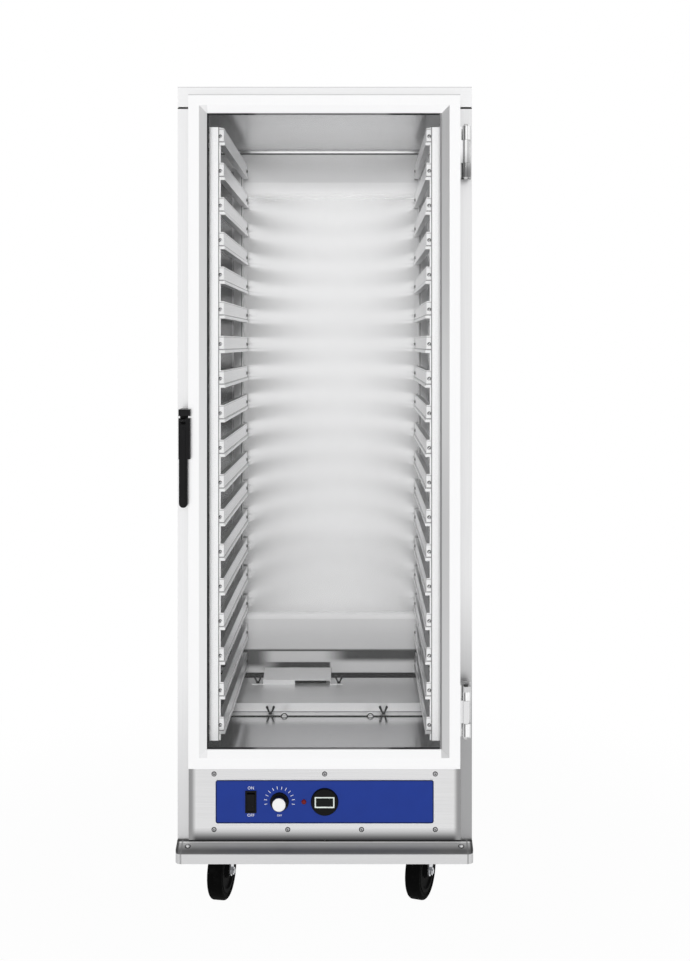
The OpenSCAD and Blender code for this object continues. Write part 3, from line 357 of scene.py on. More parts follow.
@dataclass(frozen=True)
class BrushedMetal:
    """Sheet metal with a fine grain, faint clouding, small changes in gloss and any marks.

    In its dull stretches it reflects less, as a satin sheet does.
    """

    name: str
    colour: Colour
    roughness: float
    metallic: float = 1.0
    grain: Grain = Grain.ALONG_X
    shade: float = 0.9
    stretch: float = 0.0
    marks: tuple[Mark, ...] = ()
    dull: tuple[Span, ...] = ()
    dull_share: float = 0.85
    streaks: Pair = (3.0, 3.0)
    streak_part: float = 0.7
    clouds: Pair = (3.5, 2.0)
    tone_ends: Pair = (0.3, 0.7)
    gloss: Triple = (0.8, 0.25, 0.15)
    bump: Pair = (0.25, 0.02 * MM)

    def build(self) -> Material:
        """Makes the material."""
        g = Graph.new(self.name)
        place = g.place()
        stretched = g.vector("MULTIPLY", place, self.grain.value)
        streaks = g.noise(stretched, *self.streaks)
        clouds = g.noise(place, *self.clouds)
        worn = streaks * self.streak_part + clouds * (1.0 - self.streak_part)
        colour = g.mix(g.ease(worn, *self.tone_ends), dimmed(self.colour, self.shade), self.colour)
        for mark in self.marks:
            colour = mark.blend(g, place, colour)
        plain, by_streaks, by_clouds = self.gloss
        gloss = self.roughness * (plain + streaks * by_streaks + clouds * by_clouds)
        metal = self.metallic
        for span in self.dull:
            metal = metal * (1.0 - span.cover(g, place) * self.dull_share)
        return g.surface({"Base Color": colour, "Metallic": metal, "Roughness": gloss,
                          "Anisotropic": self.stretch, "Normal": g.bump(streaks, *self.bump)})


@dataclass(frozen=True)
class Moulded:
    """Plastic or rubber with a fine moulded texture and lighter worn patches."""

    name: str
    colour: Colour
    roughness: float
    texture: float = 900.0
    coat: float = 0.0
    sheen_level: float = 0.25
    marks: tuple[Mark, ...] = ()
    wear: Pair = (25.0, 3.0)
    wear_ends: Pair = (0.45, 0.75)
    wear_gain: float = 1.25
    wear_lift: float = 0.002
    gloss: Pair = (0.85, 0.3)
    bump: Pair = (0.3, 0.05 * MM)

    def build(self) -> Material:
        """Makes the material."""
        g = Graph.new(self.name)
        place = g.place()
        pits = g.noise(place, self.texture)
        wear = g.noise(place, *self.wear)
        light = tuple(min(1.0, c * self.wear_gain + self.wear_lift) for c in self.colour)
        colour = g.mix(g.ease(wear, *self.wear_ends), self.colour, light)
        for mark in self.marks:
            colour = mark.blend(g, place, colour)
        plain, by_wear = self.gloss
        gloss = self.roughness * (plain + wear * by_wear)
        return g.surface({"Base Color": colour, "Roughness": gloss, "Coat Weight": self.coat,
                          "Specular IOR Level": self.sheen_level, "Normal": g.bump(pits, *self.bump)})


@dataclass(frozen=True)
class PlatedMetal:
    """Smooth plated or turned metal with light handling marks."""

    name: str
    colour: Colour
    roughness: float
    shade: float = 0.8
    marks: Pair = (60.0, 4.0)
    mark_ends: Pair = (0.35, 0.65)
    gloss: Pair = (0.7, 0.6)

    def build(self) -> Material:
        """Makes the material."""
        g = Graph.new(self.name)
        marks = g.noise(g.place(), *self.marks)
        colour = g.mix(g.ease(marks, *self.mark_ends), dimmed(self.colour, self.shade), self.colour)
        plain, by_marks = self.gloss
        return g.surface({"Base Color": colour, "Metallic": 1.0,
                          "Roughness": self.roughness * (plain + marks * by_marks)})


@dataclass(frozen=True)
class ClearPane:
    """Clear glazing that lets the light straight through."""

    name: str
    cover: float
    tint: Colour
    smear: Pair = (4.0, 3.0)
    gloss: Pair = (0.02, 0.03)
    ior: float = 1.49

    def build(self) -> Material:
        """Makes the material."""
        g = Graph.new(self.name)
        plain, by_smear = self.gloss
        smear = g.noise(g.place(), *self.smear)
        return g.surface({"Base Color": self.tint, "Roughness": plain + smear * by_smear,
                          "Alpha": self.cover, "IOR": self.ior})


@dataclass(frozen=True)
class PrintedLabel:
    """Blue film with a dark line and a thin pale line round its edge."""

    name: str
    node: str
    field_colour: Colour
    line_colour: Colour
    edge_colour: Colour
    edge: float
    line: float
    corner: float
    shade: float = 0.85
    mottle: Pair = (30.0, 3.0)
    gloss: Pair = (0.3, 0.08)
    sheen_level: float = 0.2

    def build(self) -> Material:
        """Makes the material."""
        lo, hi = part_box(self.node)
        middle, half = (lo + hi) / 2, (hi - lo) / 2
        g = Graph.new(self.name)
        place = g.place()
        x, _, z = g.parts(g.vector("SUBTRACT", place, middle))
        across = (abs(x) - (half.x - self.corner)).at_least(0.0)
        up = (abs(z) - (half.z - self.corner)).at_least(0.0)
        reach = g.math("SQRT", across * across + up * up)
        inside = (half.x - abs(x)).at_most(half.z - abs(z)).at_most(self.corner - reach)
        in_line = g.ease(inside, self.edge, self.edge + SHARP)
        in_field = g.ease(inside, self.edge + self.line, self.edge + self.line + SHARP)
        mottle = g.noise(place, *self.mottle)
        blue = g.mix(mottle, dimmed(self.field_colour, self.shade), self.field_colour)
        colour = g.mix(in_field, g.mix(in_line, self.edge_colour, self.line_colour), blue)
        plain, by_mottle = self.gloss
        return g.surface({"Base Color": colour, "Roughness": plain + mottle * by_mottle,
                          "Specular IOR Level": self.sheen_level})


@dataclass(frozen=True)
class MeterFace:
    """Black bezel whose display has a pale line round it."""

    name: str
    node: str
    width: float
    height: float
    line: float
    black: Colour
    pale: Colour
    glass: Colour
    gloss: Pair = (0.45, 0.25)
    sheen_level: float = 0.12
    texture: float = 700.0
    bump: Pair = (0.15, 0.04 * MM)

    def build(self) -> Material:
        """Makes the material."""
        lo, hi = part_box(self.node)
        middle = (lo + hi) / 2
        g = Graph.new(self.name)
        place = g.place()
        x, _, z = g.parts(g.vector("SUBTRACT", place, middle))
        inside = (self.width / 2 - abs(x)).at_most(self.height / 2 - abs(z))
        in_line = g.ease(inside, -SHARP, 0.0)
        in_glass = g.ease(inside, self.line, self.line + SHARP)
        colour = g.mix(in_glass, g.mix(in_line, self.black, self.pale), self.glass)
        plain, by_glass = self.gloss
        pits = g.noise(place, self.texture)
        return g.surface({"Base Color": colour, "Roughness": plain - in_glass * by_glass,
                          "Specular IOR Level": self.sheen_level,
                          "Normal": g.bump(pits, *self.bump)})


@dataclass(frozen=True)
class WheelRubber:
    """Black tyre on a slightly greyer hub, told apart by the distance from the axle."""

    name: str
    centre: Triple
    axis: Triple
    hub: float
    tyre: Colour
    core: Colour
    dusty: Colour = grey(0.006, 0.0)
    hub_edge: float = 0.6 * MM
    dust: Pair = (45.0, 4.0)
    dust_ends: Pair = (0.5, 0.8)
    gloss: Triple = (0.6, 0.12, 0.1)
    sheen_level: float = 0.03
    ring_pace: float = 2600.0
    bump: Pair = (0.12, 0.2 * MM)

    def build(self) -> Material:
        """Makes the material."""
        g = Graph.new(self.name)
        place = g.place()
        arm = g.vector("CROSS_PRODUCT", g.vector("SUBTRACT", place, self.centre), self.axis)
        radius = g.length(arm)
        on_tyre = g.ease(radius, self.hub, self.hub + self.hub_edge)
        dust = g.noise(place, *self.dust)
        rings = g.math("SINE", radius * self.ring_pace)
        outer = g.mix(g.ease(dust, *self.dust_ends), self.tyre, self.dusty)
        plain, by_tyre, by_dust = self.gloss
        return g.surface({"Base Color": g.mix(on_tyre, self.core, outer),
                          "Roughness": plain + on_tyre * by_tyre + dust * by_dust,
                          "Specular IOR Level": self.sheen_level,
                          "Normal": g.bump(rings * on_tyre, *self.bump)})


@dataclass(frozen=True)
class SignalLens:
    """Red lens of the pilot lamp, ribbed inside."""

    name: str
    colour: Colour
    shade: float = 0.6
    coat: float = 0.15
    gloss: Pair = (0.25, 0.1)
    sheen_level: float = 0.2
    rib_scale: float = 500.0
    bump: Pair = (0.2, 0.1 * MM)

    def build(self) -> Material:
        """Makes the material."""
        g = Graph.new(self.name)
        ribs = g.noise(g.place(), self.rib_scale)
        colour = g.mix(ribs, dimmed(self.colour, self.shade), self.colour)
        plain, by_ribs = self.gloss
        return g.surface({"Base Color": colour, "Roughness": plain + ribs * by_ribs,
                          "Coat Weight": self.coat, "Specular IOR Level": self.sheen_level,
                          "Normal": g.bump(ribs, *self.bump)})


def dress(finish: Finish, *nodes: str) -> None:
    """Gives CAD nodes a finish.

    Args:
        finish: The finish.
        nodes: Names of the nodes.
    """
    material = finish.build()
    for name in nodes:
        data = frame["nodes"][name].data
        data.materials.clear()
        data.materials.append(material)
        LOG.info("%s: %s", name, material.name)


def solids(node: str) -> list[tuple[Vector, Vector]]:
    """Boxes of the separate solids of a CAD node.

    Args:
        node: The node's name.

    Returns:
        Lowest and highest corner of each solid, from left to right and then upward.
    """
    mesh = bmesh.new()
    mesh.from_mesh(frame["nodes"][node].data)
    bmesh.ops.remove_doubles(mesh, verts=mesh.verts, dist=WELD)
    left = set(mesh.verts)
    boxes = []
    while left:
        island, edge = set(), [left.pop()]
        while edge:
            vertex = edge.pop()
            island.add(vertex)
            near = {e.other_vert(vertex) for e in vertex.link_edges} & left
            left -= near
            edge += near
        corners = [[v.co[i] for v in island] for i in range(3)]
        boxes.append((Vector([min(c) for c in corners]), Vector([max(c) for c in corners])))
    mesh.free()
    return sorted(boxes, key=lambda b: (round(b[0].x, 4), round(b[0].z, 4), round(b[0].y, 4)))


def add_piece(name: str, mesh: Mesh, material: Material, body: str = "cabinet") -> None:
    """Turns a mesh into a piece that rides on a body.

    Args:
        name: The piece's name.
        mesh: Its shape, in the shared frame; it is freed.
        material: Its finish.
        body: Body that it moves with.
    """
    data = bpy.data.meshes.new(name)
    mesh.to_mesh(data)
    mesh.free()
    data.materials.append(material)
    piece = bpy.data.objects.new(name, data)
    bpy.context.scene.collection.objects.link(piece)
    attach(piece, body)
    LOG.info("%s rides on %s", name, body)


def add_bar(mesh: Mesh, size: Sequence[float], placing: Matrix) -> None:
    """Adds a box to a mesh.

    Args:
        mesh: The mesh.
        size: Its three sides.
        placing: Where it goes.
    """
    bmesh.ops.create_cube(mesh, size=1.0, matrix=placing @ Matrix.Diagonal((*size, 1.0)))


def placed(spot: Sequence[float], angle: float, axis: str) -> Matrix:
    """Placing at a spot, turned about an axis."""
    return Matrix.Translation(spot) @ Matrix.Rotation(angle, 4, axis)


def add_disc(mesh: Mesh, radius: float, depth: float, spot: Vector) -> None:
    """Adds a thin round disc that faces along Y.

    Args:
        mesh: The mesh.
        radius: Its radius.
        depth: Its thickness.
        spot: Its middle.
    """
    bmesh.ops.create_cone(mesh, cap_ends=True, segments=DISC_STEPS, radius1=radius, radius2=radius,
                          depth=depth, matrix=placed(spot, QUARTER, "X"))


def add_dome(mesh: Mesh, radius: float, height: float, placing: Matrix) -> None:
    """Adds a flattened dome, half of it sunk, that rises along Z of its placing.

    Args:
        mesh: The mesh.
        radius: Its radius.
        height: Its height.
        placing: Where it goes and which way it faces.
    """
    around, up = DOME_STEPS
    bmesh.ops.create_uvsphere(mesh, u_segments=around, v_segments=up, radius=1.0,
                              matrix=placing @ Matrix.Diagonal((radius, radius, height, 1.0)))


def add_rail(mesh: Mesh, outline: Sequence[Pair], start: float, end: float) -> None:
    """Sweeps a closed outline along X.

    Args:
        mesh: The mesh.
        outline: Its corners as Y and Z, in order.
        start: X of its first end.
        end: X of its other end.
    """
    ends = [[mesh.verts.new((x, y, z)) for y, z in outline] for x in (start, end)]
    mesh.faces.new(ends[0])
    mesh.faces.new(ends[1])
    for i in range(len(outline)):
        j = (i + 1) % len(outline)
        mesh.faces.new((ends[0][i], ends[0][j], ends[1][j], ends[1][i]))
    bmesh.ops.recalc_face_normals(mesh, faces=mesh.faces)


@dataclass
class Shell:
    """Outer skins, base, ledge and control panel sheet."""

    # Painted shade: the two side skins are one satin sheet, the right one greyer than the left, and
    # each front edge is painted darker towards the floor, the right one more and higher up.
    left: BrushedMetal = BrushedMetal(
        "satin_left_painted_shade", grey(0.93), 0.34, 0.9, Grain.ALONG_Z, shade=0.95,
        marks=(tone(0.66, Span(Z, 0.0, 0.10, fall=0.5), FRONT), CAP_GAP_SHADOW))
    right: BrushedMetal = BrushedMetal(
        "satin_right_painted_shade", grey(0.85), 0.34, 0.9, Grain.ALONG_Z, shade=0.95,
        marks=(tone(0.38, Span(Z, 0.0, 0.34, fall=0.42), FRONT, blue=0.004), CAP_GAP_SHADOW))
    back: BrushedMetal = BrushedMetal("satin_back", grey(0.8), 0.36, 0.9, Grain.ALONG_Z, shade=0.94)
    front: BrushedMetal = BrushedMetal("satin_base", grey(0.6), 0.3, shade=0.93)
    panel: BrushedMetal = BrushedMetal(
        "panel_sheet", grey(0.77), 0.24, shade=0.93,
        # Painted shade: near black along the panel's foot above the ledge as a painted shadow, and
        # darker towards both ends.
        marks=(tone(0.05, Span(Z, 0.0, 0.155, fall=0.031), blue=0.002),
               tone(0.3, Span(X, 0.29, 1.0, rise=0.012, mirrored=True), blue=0.003)))
    ledge: BrushedMetal = BrushedMetal(
        "ledge_sheet", grey(0.68), 0.4, 0.3, shade=0.95,
        # The dark top is the bumper strip's own colour.
        marks=(tone(0.13, Span(Z, 0.1384, 1.0, rise=0.0012), blue=0.001),
               # Painted light: a lighter gradient up to the rim, a painted highlight along the rim
               # and a painted shadow line above it, under the panel.
               tone(0.56, Span(Z, 0.1515, 1.0, rise=0.0095), blue=0.003),
               tone(0.92, Span(Z, 0.1514, 1.0, rise=0.0006)),
               tone(0.05, Span(Z, 0.1529, 1.0, rise=0.0006), blue=0.0005),
               # Thin dark lines where the rounded corners begin, the corner seams.
               tone(0.2, Span(X, 0.3075, 0.3095, 0.0016, 0.0016, mirrored=True),
                    share=0.6, blue=0.002),
               # Painted shadow at both ends of the top, beside the side skins.
               tone(0.02, Span(X, 0.3165, 1.0, 0.003, mirrored=True), Span(Z, 0.1384, 1.0),
                    share=0.9, blue=0.0)))
    cap: BrushedMetal = BrushedMetal(
        "satin_cap", grey(0.94), 0.36, 0.8, shade=0.96,
        # Painted shade: a darker line along the top edge of the cap's front face.
        marks=(tone(0.62, Span(Z, 1.7912, 2.0), FRONT, share=0.7),))
    screw: PlatedMetal = PlatedMetal("back_screw", grey(0.66, 0.01), 0.25)
    screw_r: float = 4.0 * MM
    screw_h: float = 1.6 * MM
    screw_inset: float = 12.0 * MM
    screw_rows: int = 7
    screw_across: float = 1 / 3

    def build(self) -> None:
        """Dresses the shell."""
        dress(self.left, "side_panel_left")
        dress(self.right, "side_panel_right")
        dress(self.back, "back_panel")
        dress(self.front, "base_pan", "door_sill", "door_header")
        dress(self.panel, "control_panel")
        dress(self.ledge, "front_ledge")
        dress(self.cap, "top_panel")
        self.screw_back()

    def screw_back(self) -> None:
        """Sets domed screws round the edge of the back panel."""
        lo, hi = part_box("back_panel")
        inset, last = self.screw_inset, self.screw_rows - 1
        step = (hi.z - lo.z - 2 * inset) / last
        rows = [lo.z + inset + step * i for i in range(self.screw_rows)]
        spots = [(x, z) for x in (lo.x + inset, hi.x - inset) for z in rows]
        spots += [(x * self.screw_across, z) for x in (lo.x, hi.x) for z in (rows[0], rows[last])]
        mesh = bmesh.new()
        for x, z in spots:
            add_dome(mesh, self.screw_r, self.screw_h, placed((x, hi.y, z), -QUARTER, "X"))
        add_piece("back_screws", mesh, self.screw.build())


@dataclass
class Cavity:
    """Liners, floor and the heater module inside."""

    wall: BrushedMetal = BrushedMetal(
        "back_liner_painted_light", grey(0.97), 0.2, 1.0, Grain.ALONG_Z, shade=0.97, stretch=1.0,
        dull=(Span(Z, 0.0, 0.505, fall=0.02), Span(Z, 1.64, 1.664, 0.03, 0.15)),
        # Painted reflections and shade: tones that step darker towards the bottom with a thin paler
        # band a little above the lower seam, a bright strip under the ceiling and a darker band above
        # it.
        marks=(tone(0.925, Span(Z, 0.0, 1.285, fall=0.045)),
               tone(0.845, Span(Z, 0.0, 0.75, fall=0.45)),
               tone(0.775, Span(Z, 0.0, 0.7, fall=0.045)),
               tone(0.93, Span(Z, 0.0, 0.506, fall=0.02)),
               tone(0.79, Span(Z, 0.0, 0.497, fall=0.003)),
               tone(0.62, Span(Z, 0.0, 0.42, fall=0.07)),
               tone(0.99, Span(Z, 1.64, 1.664, rise=0.03)),
               tone(0.86, Span(Z, 1.664, 2.0, rise=0.0015)),
               # Painted shade beside the left rear upright.
               tone(0.5, Span(X, -1.0, -0.2655, fall=0.0015), Span(Z, 0.42, 1.66), blue=0.004),
               # Dark line of the seam at the lower joggle.
               tone(0.07, Span(Z, 0.412, 0.4145, 0.0006, 0.006), blue=0.0),
               # Painted shadow under the ceiling trim.
               tone(0.1, Span(Z, 1.7375, 1.742), blue=0.0),
               # Painted reflections and shadow round the air hood.
               tone(0.015, Span(Z, 0.395, 0.412, 0.016, 0.001), Span(X, 0.05, 0.3, 0.08, 0.01),
                    share=0.95, blue=0.0),
               tone(0.03, Span(Z, 0.38, 0.412, 0.018, 0.001), Span(X, -0.3, -0.2, 0.01, 0.05),
                    share=0.9, blue=0.0),
               tone(0.02, Span(Z, 0.362, 0.381, 0.004, 0.003),
                    Span(X, -0.13, -0.006, 0.07, 0.006), share=0.95, blue=0.0),
               # Painted shade: near black below the joggle, down into the heater well.
               tone(0.02, Span(Z, 0.0, 0.3545), blue=0.0)))
    roof: BrushedMetal = BrushedMetal(
        "ceiling_liner", grey(0.62, 0.01), 0.24,
        # Painted light and shade: the ceiling is painted paler towards the back wall.
        marks=(tone(0.89, Span(Y, 0.18, 1.0, rise=0.46)),))
    # Painted light and shade: the two side liners are one sheet, the left painted dark and the right
    # pale.
    left: BrushedMetal = BrushedMetal("side_liner_left_painted_shade", grey(0.24, 0.003), 0.24, 1.0, Grain.ALONG_Z)
    right: BrushedMetal = BrushedMetal("side_liner_right_painted_light", grey(0.92, 0.01), 0.24, 1.0, Grain.ALONG_Z)
    base: BrushedMetal = BrushedMetal("floor_liner", grey(0.53, 0.01), 0.17)
    lid: BrushedMetal = BrushedMetal(
        "cover_sheet", grey(0.95), 0.36, 0.6,
        # Painted light: the cover's front riser is painted paler than its top, with a painted shade
        # line along its foot.
        marks=(tone(0.98, Span(Z, 0.0, 0.3472), RISER),
               tone(0.34, Span(Z, 0.3258, 0.3277), RISER, blue=0.003)))
    hood: BrushedMetal = BrushedMetal("hood_sheet", grey(0.93), 0.38, 0.6)
    # Painted shade: the heater well is near black, for the shade inside it.
    well: BrushedMetal = BrushedMetal("well_painted_shade", grey(0.012, 0.0), 0.6, 0.3)
    tube: PlatedMetal = PlatedMetal("element_tube", (0.20, 0.18, 0.17), 0.45)
    wheel: PlatedMetal = PlatedMetal("fan_sheet", (0.55, 0.56, 0.57), 0.3)
    motor: Moulded = Moulded("motor_paint", grey(0.05), 0.4)
    trim: BrushedMetal = BrushedMetal("trim_sheet", grey(0.97), 0.16, shade=0.97)
    # Painted shadow: a near-black strip at the foot of the heater cover.
    foot_shadow: Moulded = Moulded("cover_foot_shadow", grey(0.012, 0.0), 0.6)
    trim_w: float = 3.4 * MM
    foot_shadow_h: float = 2.4 * MM
    strip_t: float = 0.6 * MM
    arch_r: float = 7.0 * MM
    arch_steps: int = 8
    arch_overlap: float = 1.1
    arch_spots: tuple[float, ...] = (-108.0 * MM, 102.0 * MM)

    def build(self) -> None:
        """Dresses the inside and adds its trim and the painted shadow strip at the cover's foot."""
        dress(self.wall, "liner_back")
        dress(self.roof, "liner_top")
        dress(self.left, "liner_left")
        dress(self.right, "liner_right")
        dress(self.base, "floor_pan")
        dress(self.lid, "heater_cover")
        dress(self.hood, "air_hood")
        dress(self.well, "heater_well")
        dress(self.tube, "heating_element")
        dress(self.wheel, "fan_impeller")
        dress(self.motor, "fan_motor", "thermostat_body")
        self.trim_ceiling()
        self.paint_foot_shadow()

    def trim_ceiling(self) -> None:
        """Closes the corner of ceiling and back wall with a narrow angle strip."""
        wall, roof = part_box("liner_back")[0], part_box("liner_top")[0]
        t, w = self.strip_t, self.trim_w
        angle = [(0.0, 0.0), (-2 * w, 0.0), (-2 * w, -t), (-2 * t, -t), (-t, -w), (0.0, -w)]
        mesh = bmesh.new()
        add_rail(mesh, [(wall.y + y, roof.z + z) for y, z in angle], wall.x, -wall.x)
        add_piece("ceiling_trim", mesh, self.trim.build())

    def paint_foot_shadow(self) -> None:
        """Lays a near-black strip along the foot of the heater cover, arched over its two lugs, as a
        painted shadow.
        """
        lo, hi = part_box("heater_cover")
        y = lo.y - self.strip_t
        mesh = bmesh.new()
        stops = [lo.x, *(x + side * self.arch_r for x in self.arch_spots for side in (-1, 1)), hi.x]
        for start, end in zip(stops[::2], stops[1::2]):
            spot = Vector(((start + end) / 2, y, lo.z + self.foot_shadow_h / 2))
            add_bar(mesh, (end - start, self.strip_t, self.foot_shadow_h), Matrix.Translation(spot))
        step = math.pi / self.arch_steps
        chord = 2 * self.arch_r * math.sin(step / 2) * self.arch_overlap
        for x in self.arch_spots:
            for i in range(self.arch_steps):
                angle = step * (i + 0.5)
                arm = Vector((math.cos(angle), 0.0, math.sin(angle))) * self.arch_r
                placing = placed(Vector((x, y, lo.z)) + arm, QUARTER - angle, "Y")
                add_bar(mesh, (chord, self.strip_t, self.foot_shadow_h), placing)
        add_piece("cover_foot_shadow", mesh, self.foot_shadow.build())


@dataclass
class Rack:
    """Uprights, slides, rivets and brackets."""

    upright: BrushedMetal = BrushedMetal(
        "upright_sheet", grey(0.98), 0.36, 0.1, Grain.ALONG_Z, shade=0.98,
        # Painted shadow: a dark line down each upright where the notched flange is set back.
        marks=(tone(0.3, Span(X, 0.2335, 0.2352, mirrored=True), blue=0.0),))
    slide: BrushedMetal = BrushedMetal(
        "slide_sheet", grey(0.98), 0.3, 1.0, Grain.ALONG_Y,
        # Painted shade: dark lines in each slide's grooves, and a painted shadow line between upright
        # and tab at the front.
        marks=(tone(0.25, Span(Z, 0.0065, 0.009, **TIERS), share=0.85, blue=0.0),
               tone(0.35, Span(Z, 0.0345, 0.0358, **TIERS), share=0.7, blue=0.0),
               tone(0.3, Span(X, 0.2332, 0.236, mirrored=True), Span(Y, -1.0, -0.296), blue=0.0)))
    rivet: PlatedMetal = PlatedMetal("rivet_head", grey(0.85, 0.01), 0.25)
    # Painted shade: dark discs and domes on the rivets, for their hollows and the shadows round their
    # heads.
    rivet_shade: Moulded = Moulded("rivet_painted_shade", grey(0.03, 0.0), 0.6)
    screw: PlatedMetal = PlatedMetal("wing_screw", grey(0.03, 0.002), 0.35)
    hollow_r: float = 1.0 * MM
    shade_disc_t: float = 0.2 * MM
    rear_share: float = 1.35
    shadow_r: float = 4.2 * MM
    shadow_drop: Pair = (-0.9 * MM, 0.8 * MM)

    def build(self) -> None:
        """Dresses the rack and details its rivets."""
        dress(self.upright, "rack_uprights_left", "rack_uprights_right")
        dress(self.slide, "pan_slides_left", "pan_slides_right", "rack_brackets")
        dress(self.rivet, "slide_rivets")
        dress(self.screw, "wing_screws")
        self.paint_rivet_shade()

    def paint_rivet_shade(self) -> None:
        """Paints shade on the rivets: a dark disc in each front rivet's hollow, a painted shadow disc
        behind its head, and a larger dark dome over each rear rivet.
        """
        mesh = bmesh.new()
        across, up = self.shadow_drop
        for lo, hi in solids("slide_rivets"):
            middle = (lo + hi) / 2
            if hi.x - lo.x > hi.y - lo.y:
                add_disc(mesh, self.hollow_r, self.shade_disc_t, Vector((middle.x, lo.y, middle.z)))
                behind = Vector((middle.x + across, hi.y, middle.z + up))
                add_disc(mesh, self.shadow_r, self.shade_disc_t, behind)
            else:
                foot, side = (lo.x, 1.0) if middle.x < 0 else (hi.x, -1.0)
                placing = placed((foot, middle.y, middle.z), side * QUARTER, "Y")
                radius, height = (hi.z - lo.z) / 2, hi.x - lo.x
                add_dome(mesh, self.rear_share * radius, self.rear_share * height, placing)
        add_piece("rivet_shade_marks", mesh, self.rivet_shade.build())


@dataclass
class Controls:
    """Label, switch, knob, lamp, thermometer and the marks printed round them."""

    label: PrintedLabel = PrintedLabel(
        "label_film", "control_label", (0.014, 0.042, 0.28), (0.004, 0.010, 0.06), (0.75, 0.76, 0.78),
        edge=1.2 * MM, line=2.6 * MM, corner=6.5 * MM)
    black: Moulded = Moulded("control_black", grey(0.005, 0.0005), 0.4, sheen_level=0.12)
    white: Moulded = Moulded("knob_white", grey(0.9, -0.01), 0.3, coat=0.2, sheen_level=0.2,
                             marks=(tone(0.006, Span(Y, -0.363, 1.0), blue=0.0),))
    ink: Moulded = Moulded("white_ink", (0.85, 0.86, 0.90), 0.5)
    lens: SignalLens = SignalLens("red_lens", (0.20, 0.010, 0.012))
    meter: MeterFace = MeterFace(
        "meter_face", "thermometer", width=42.5 * MM, height=23.5 * MM, line=2.4 * MM,
        black=grey(0.004, 0.0), pale=(0.80, 0.86, 0.82), glass=(0.005, 0.007, 0.006))
    screw: PlatedMetal = PlatedMetal("panel_screw", grey(0.62, 0.01), 0.25)
    bright: PlatedMetal = PlatedMetal("ledge_screw", grey(0.97), 0.5)
    # Painted shade: dark bars in the screws' cross recesses and dark discs that paint a shadow ring
    # round their heads.
    screw_shade: Moulded = Moulded("screw_painted_shade", grey(0.02, 0.0), 0.5)
    ivory: Moulded = Moulded("terminal_ivory", (0.72, 0.66, 0.50), 0.5)
    ink_t: float = 0.08 * MM
    tick_count: int = 12
    tick_sweep: float = 200.0
    tick_middle: float = 90.0
    tick_inner: float = 27.0 * MM
    tick_outer: float = 33.5 * MM
    tick_w: float = 1.1 * MM
    word_gap: float = 2.4 * MM
    word_h: float = 8.8 * MM
    word_rise: float = 0.35
    dial_word_h: float = 6.0 * MM
    dial_word_drop: float = 30.0 * MM
    recess_w: float = 1.2 * MM
    recess_len: float = 5.0 * MM
    recess_t: float = 0.16 * MM
    recess_turns: tuple[float, ...] = (20.0, 110.0)
    ring_share: float = 1.4
    upright_d: float = 4.0 * MM
    ledge_slope: float = 20.0
    ledge_head_r: float = 4.6 * MM
    ledge_head_h: float = 2.2 * MM
    ledge_ring_h: float = 0.32 * MM
    ledge_mid: float = 5.0 * MM

    def build(self) -> None:
        """Dresses the controls and prints their marks."""
        dress(self.label, "control_label")
        dress(self.black, "switch_housing", "switch_rocker", "thermostat_knob", "cord_gland")
        dress(self.white, "knob_cap")
        dress(self.lens, "pilot_lamp")
        dress(self.meter, "thermometer")
        dress(self.screw, "panel_screws")
        dress(self.ivory, "terminal_block")
        ink = self.ink.build()
        self.print_ticks(ink)
        lo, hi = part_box("switch_housing")
        middle, away = (lo.x + hi.x) / 2, self.word_gap + self.word_h * self.word_rise
        self.print_word("switch_on_word", "ON", middle, hi.z + away, self.word_h, ink)
        self.print_word("switch_off_word", "OFF", middle, lo.z - away, self.word_h, ink)
        lo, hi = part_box("thermostat_knob")
        low = (lo.z + hi.z) / 2 - self.dial_word_drop
        self.print_word("dial_off_word", "OFF", (lo.x + hi.x) / 2, low, self.dial_word_h, ink)
        self.paint_screw_shade()
        self.head_ledge_screws()

    def print_ticks(self, ink: Material) -> None:
        """Prints the scale over the knob.

        Args:
            ink: The finish.
        """
        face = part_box("control_label")[0].y
        lo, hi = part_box("thermostat_knob")
        centre = Vector(((lo.x + hi.x) / 2, face - self.ink_t / 2, (lo.z + hi.z) / 2))
        middle = (self.tick_inner + self.tick_outer) / 2
        first, step = self.tick_middle - self.tick_sweep / 2, self.tick_sweep / (self.tick_count - 1)
        size = (self.tick_outer - self.tick_inner, self.ink_t, self.tick_w)
        mesh = bmesh.new()
        for i in range(self.tick_count):
            angle = math.radians(first + step * i)
            spot = centre + Vector((math.cos(angle), 0.0, math.sin(angle))) * middle
            add_bar(mesh, size, placed(spot, -angle, "Y"))
        add_piece("knob_scale", mesh, ink)

    def print_word(self, name: str, text: str, x: float, z: float, height: float,
                   ink: Material) -> None:
        """Prints one short word on the label.

        Args:
            name: The piece's name.
            text: The word.
            x: Middle of the word across the label.
            z: Middle of the word up the label.
            height: Size of the letters.
            ink: The finish.
        """
        curve = bpy.data.curves.new(name, "FONT")
        curve.body = text
        curve.size = height
        curve.align_x = curve.align_y = "CENTER"
        curve.extrude = self.ink_t / 2
        curve.materials.append(ink)
        word = bpy.data.objects.new(name, curve)
        word.location = (x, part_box("control_label")[0].y - self.ink_t / 2, z)
        word.rotation_euler = (QUARTER, 0.0, 0.0)
        bpy.context.scene.collection.objects.link(word)
        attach(word, "cabinet")
        LOG.info("%s rides on cabinet", name)

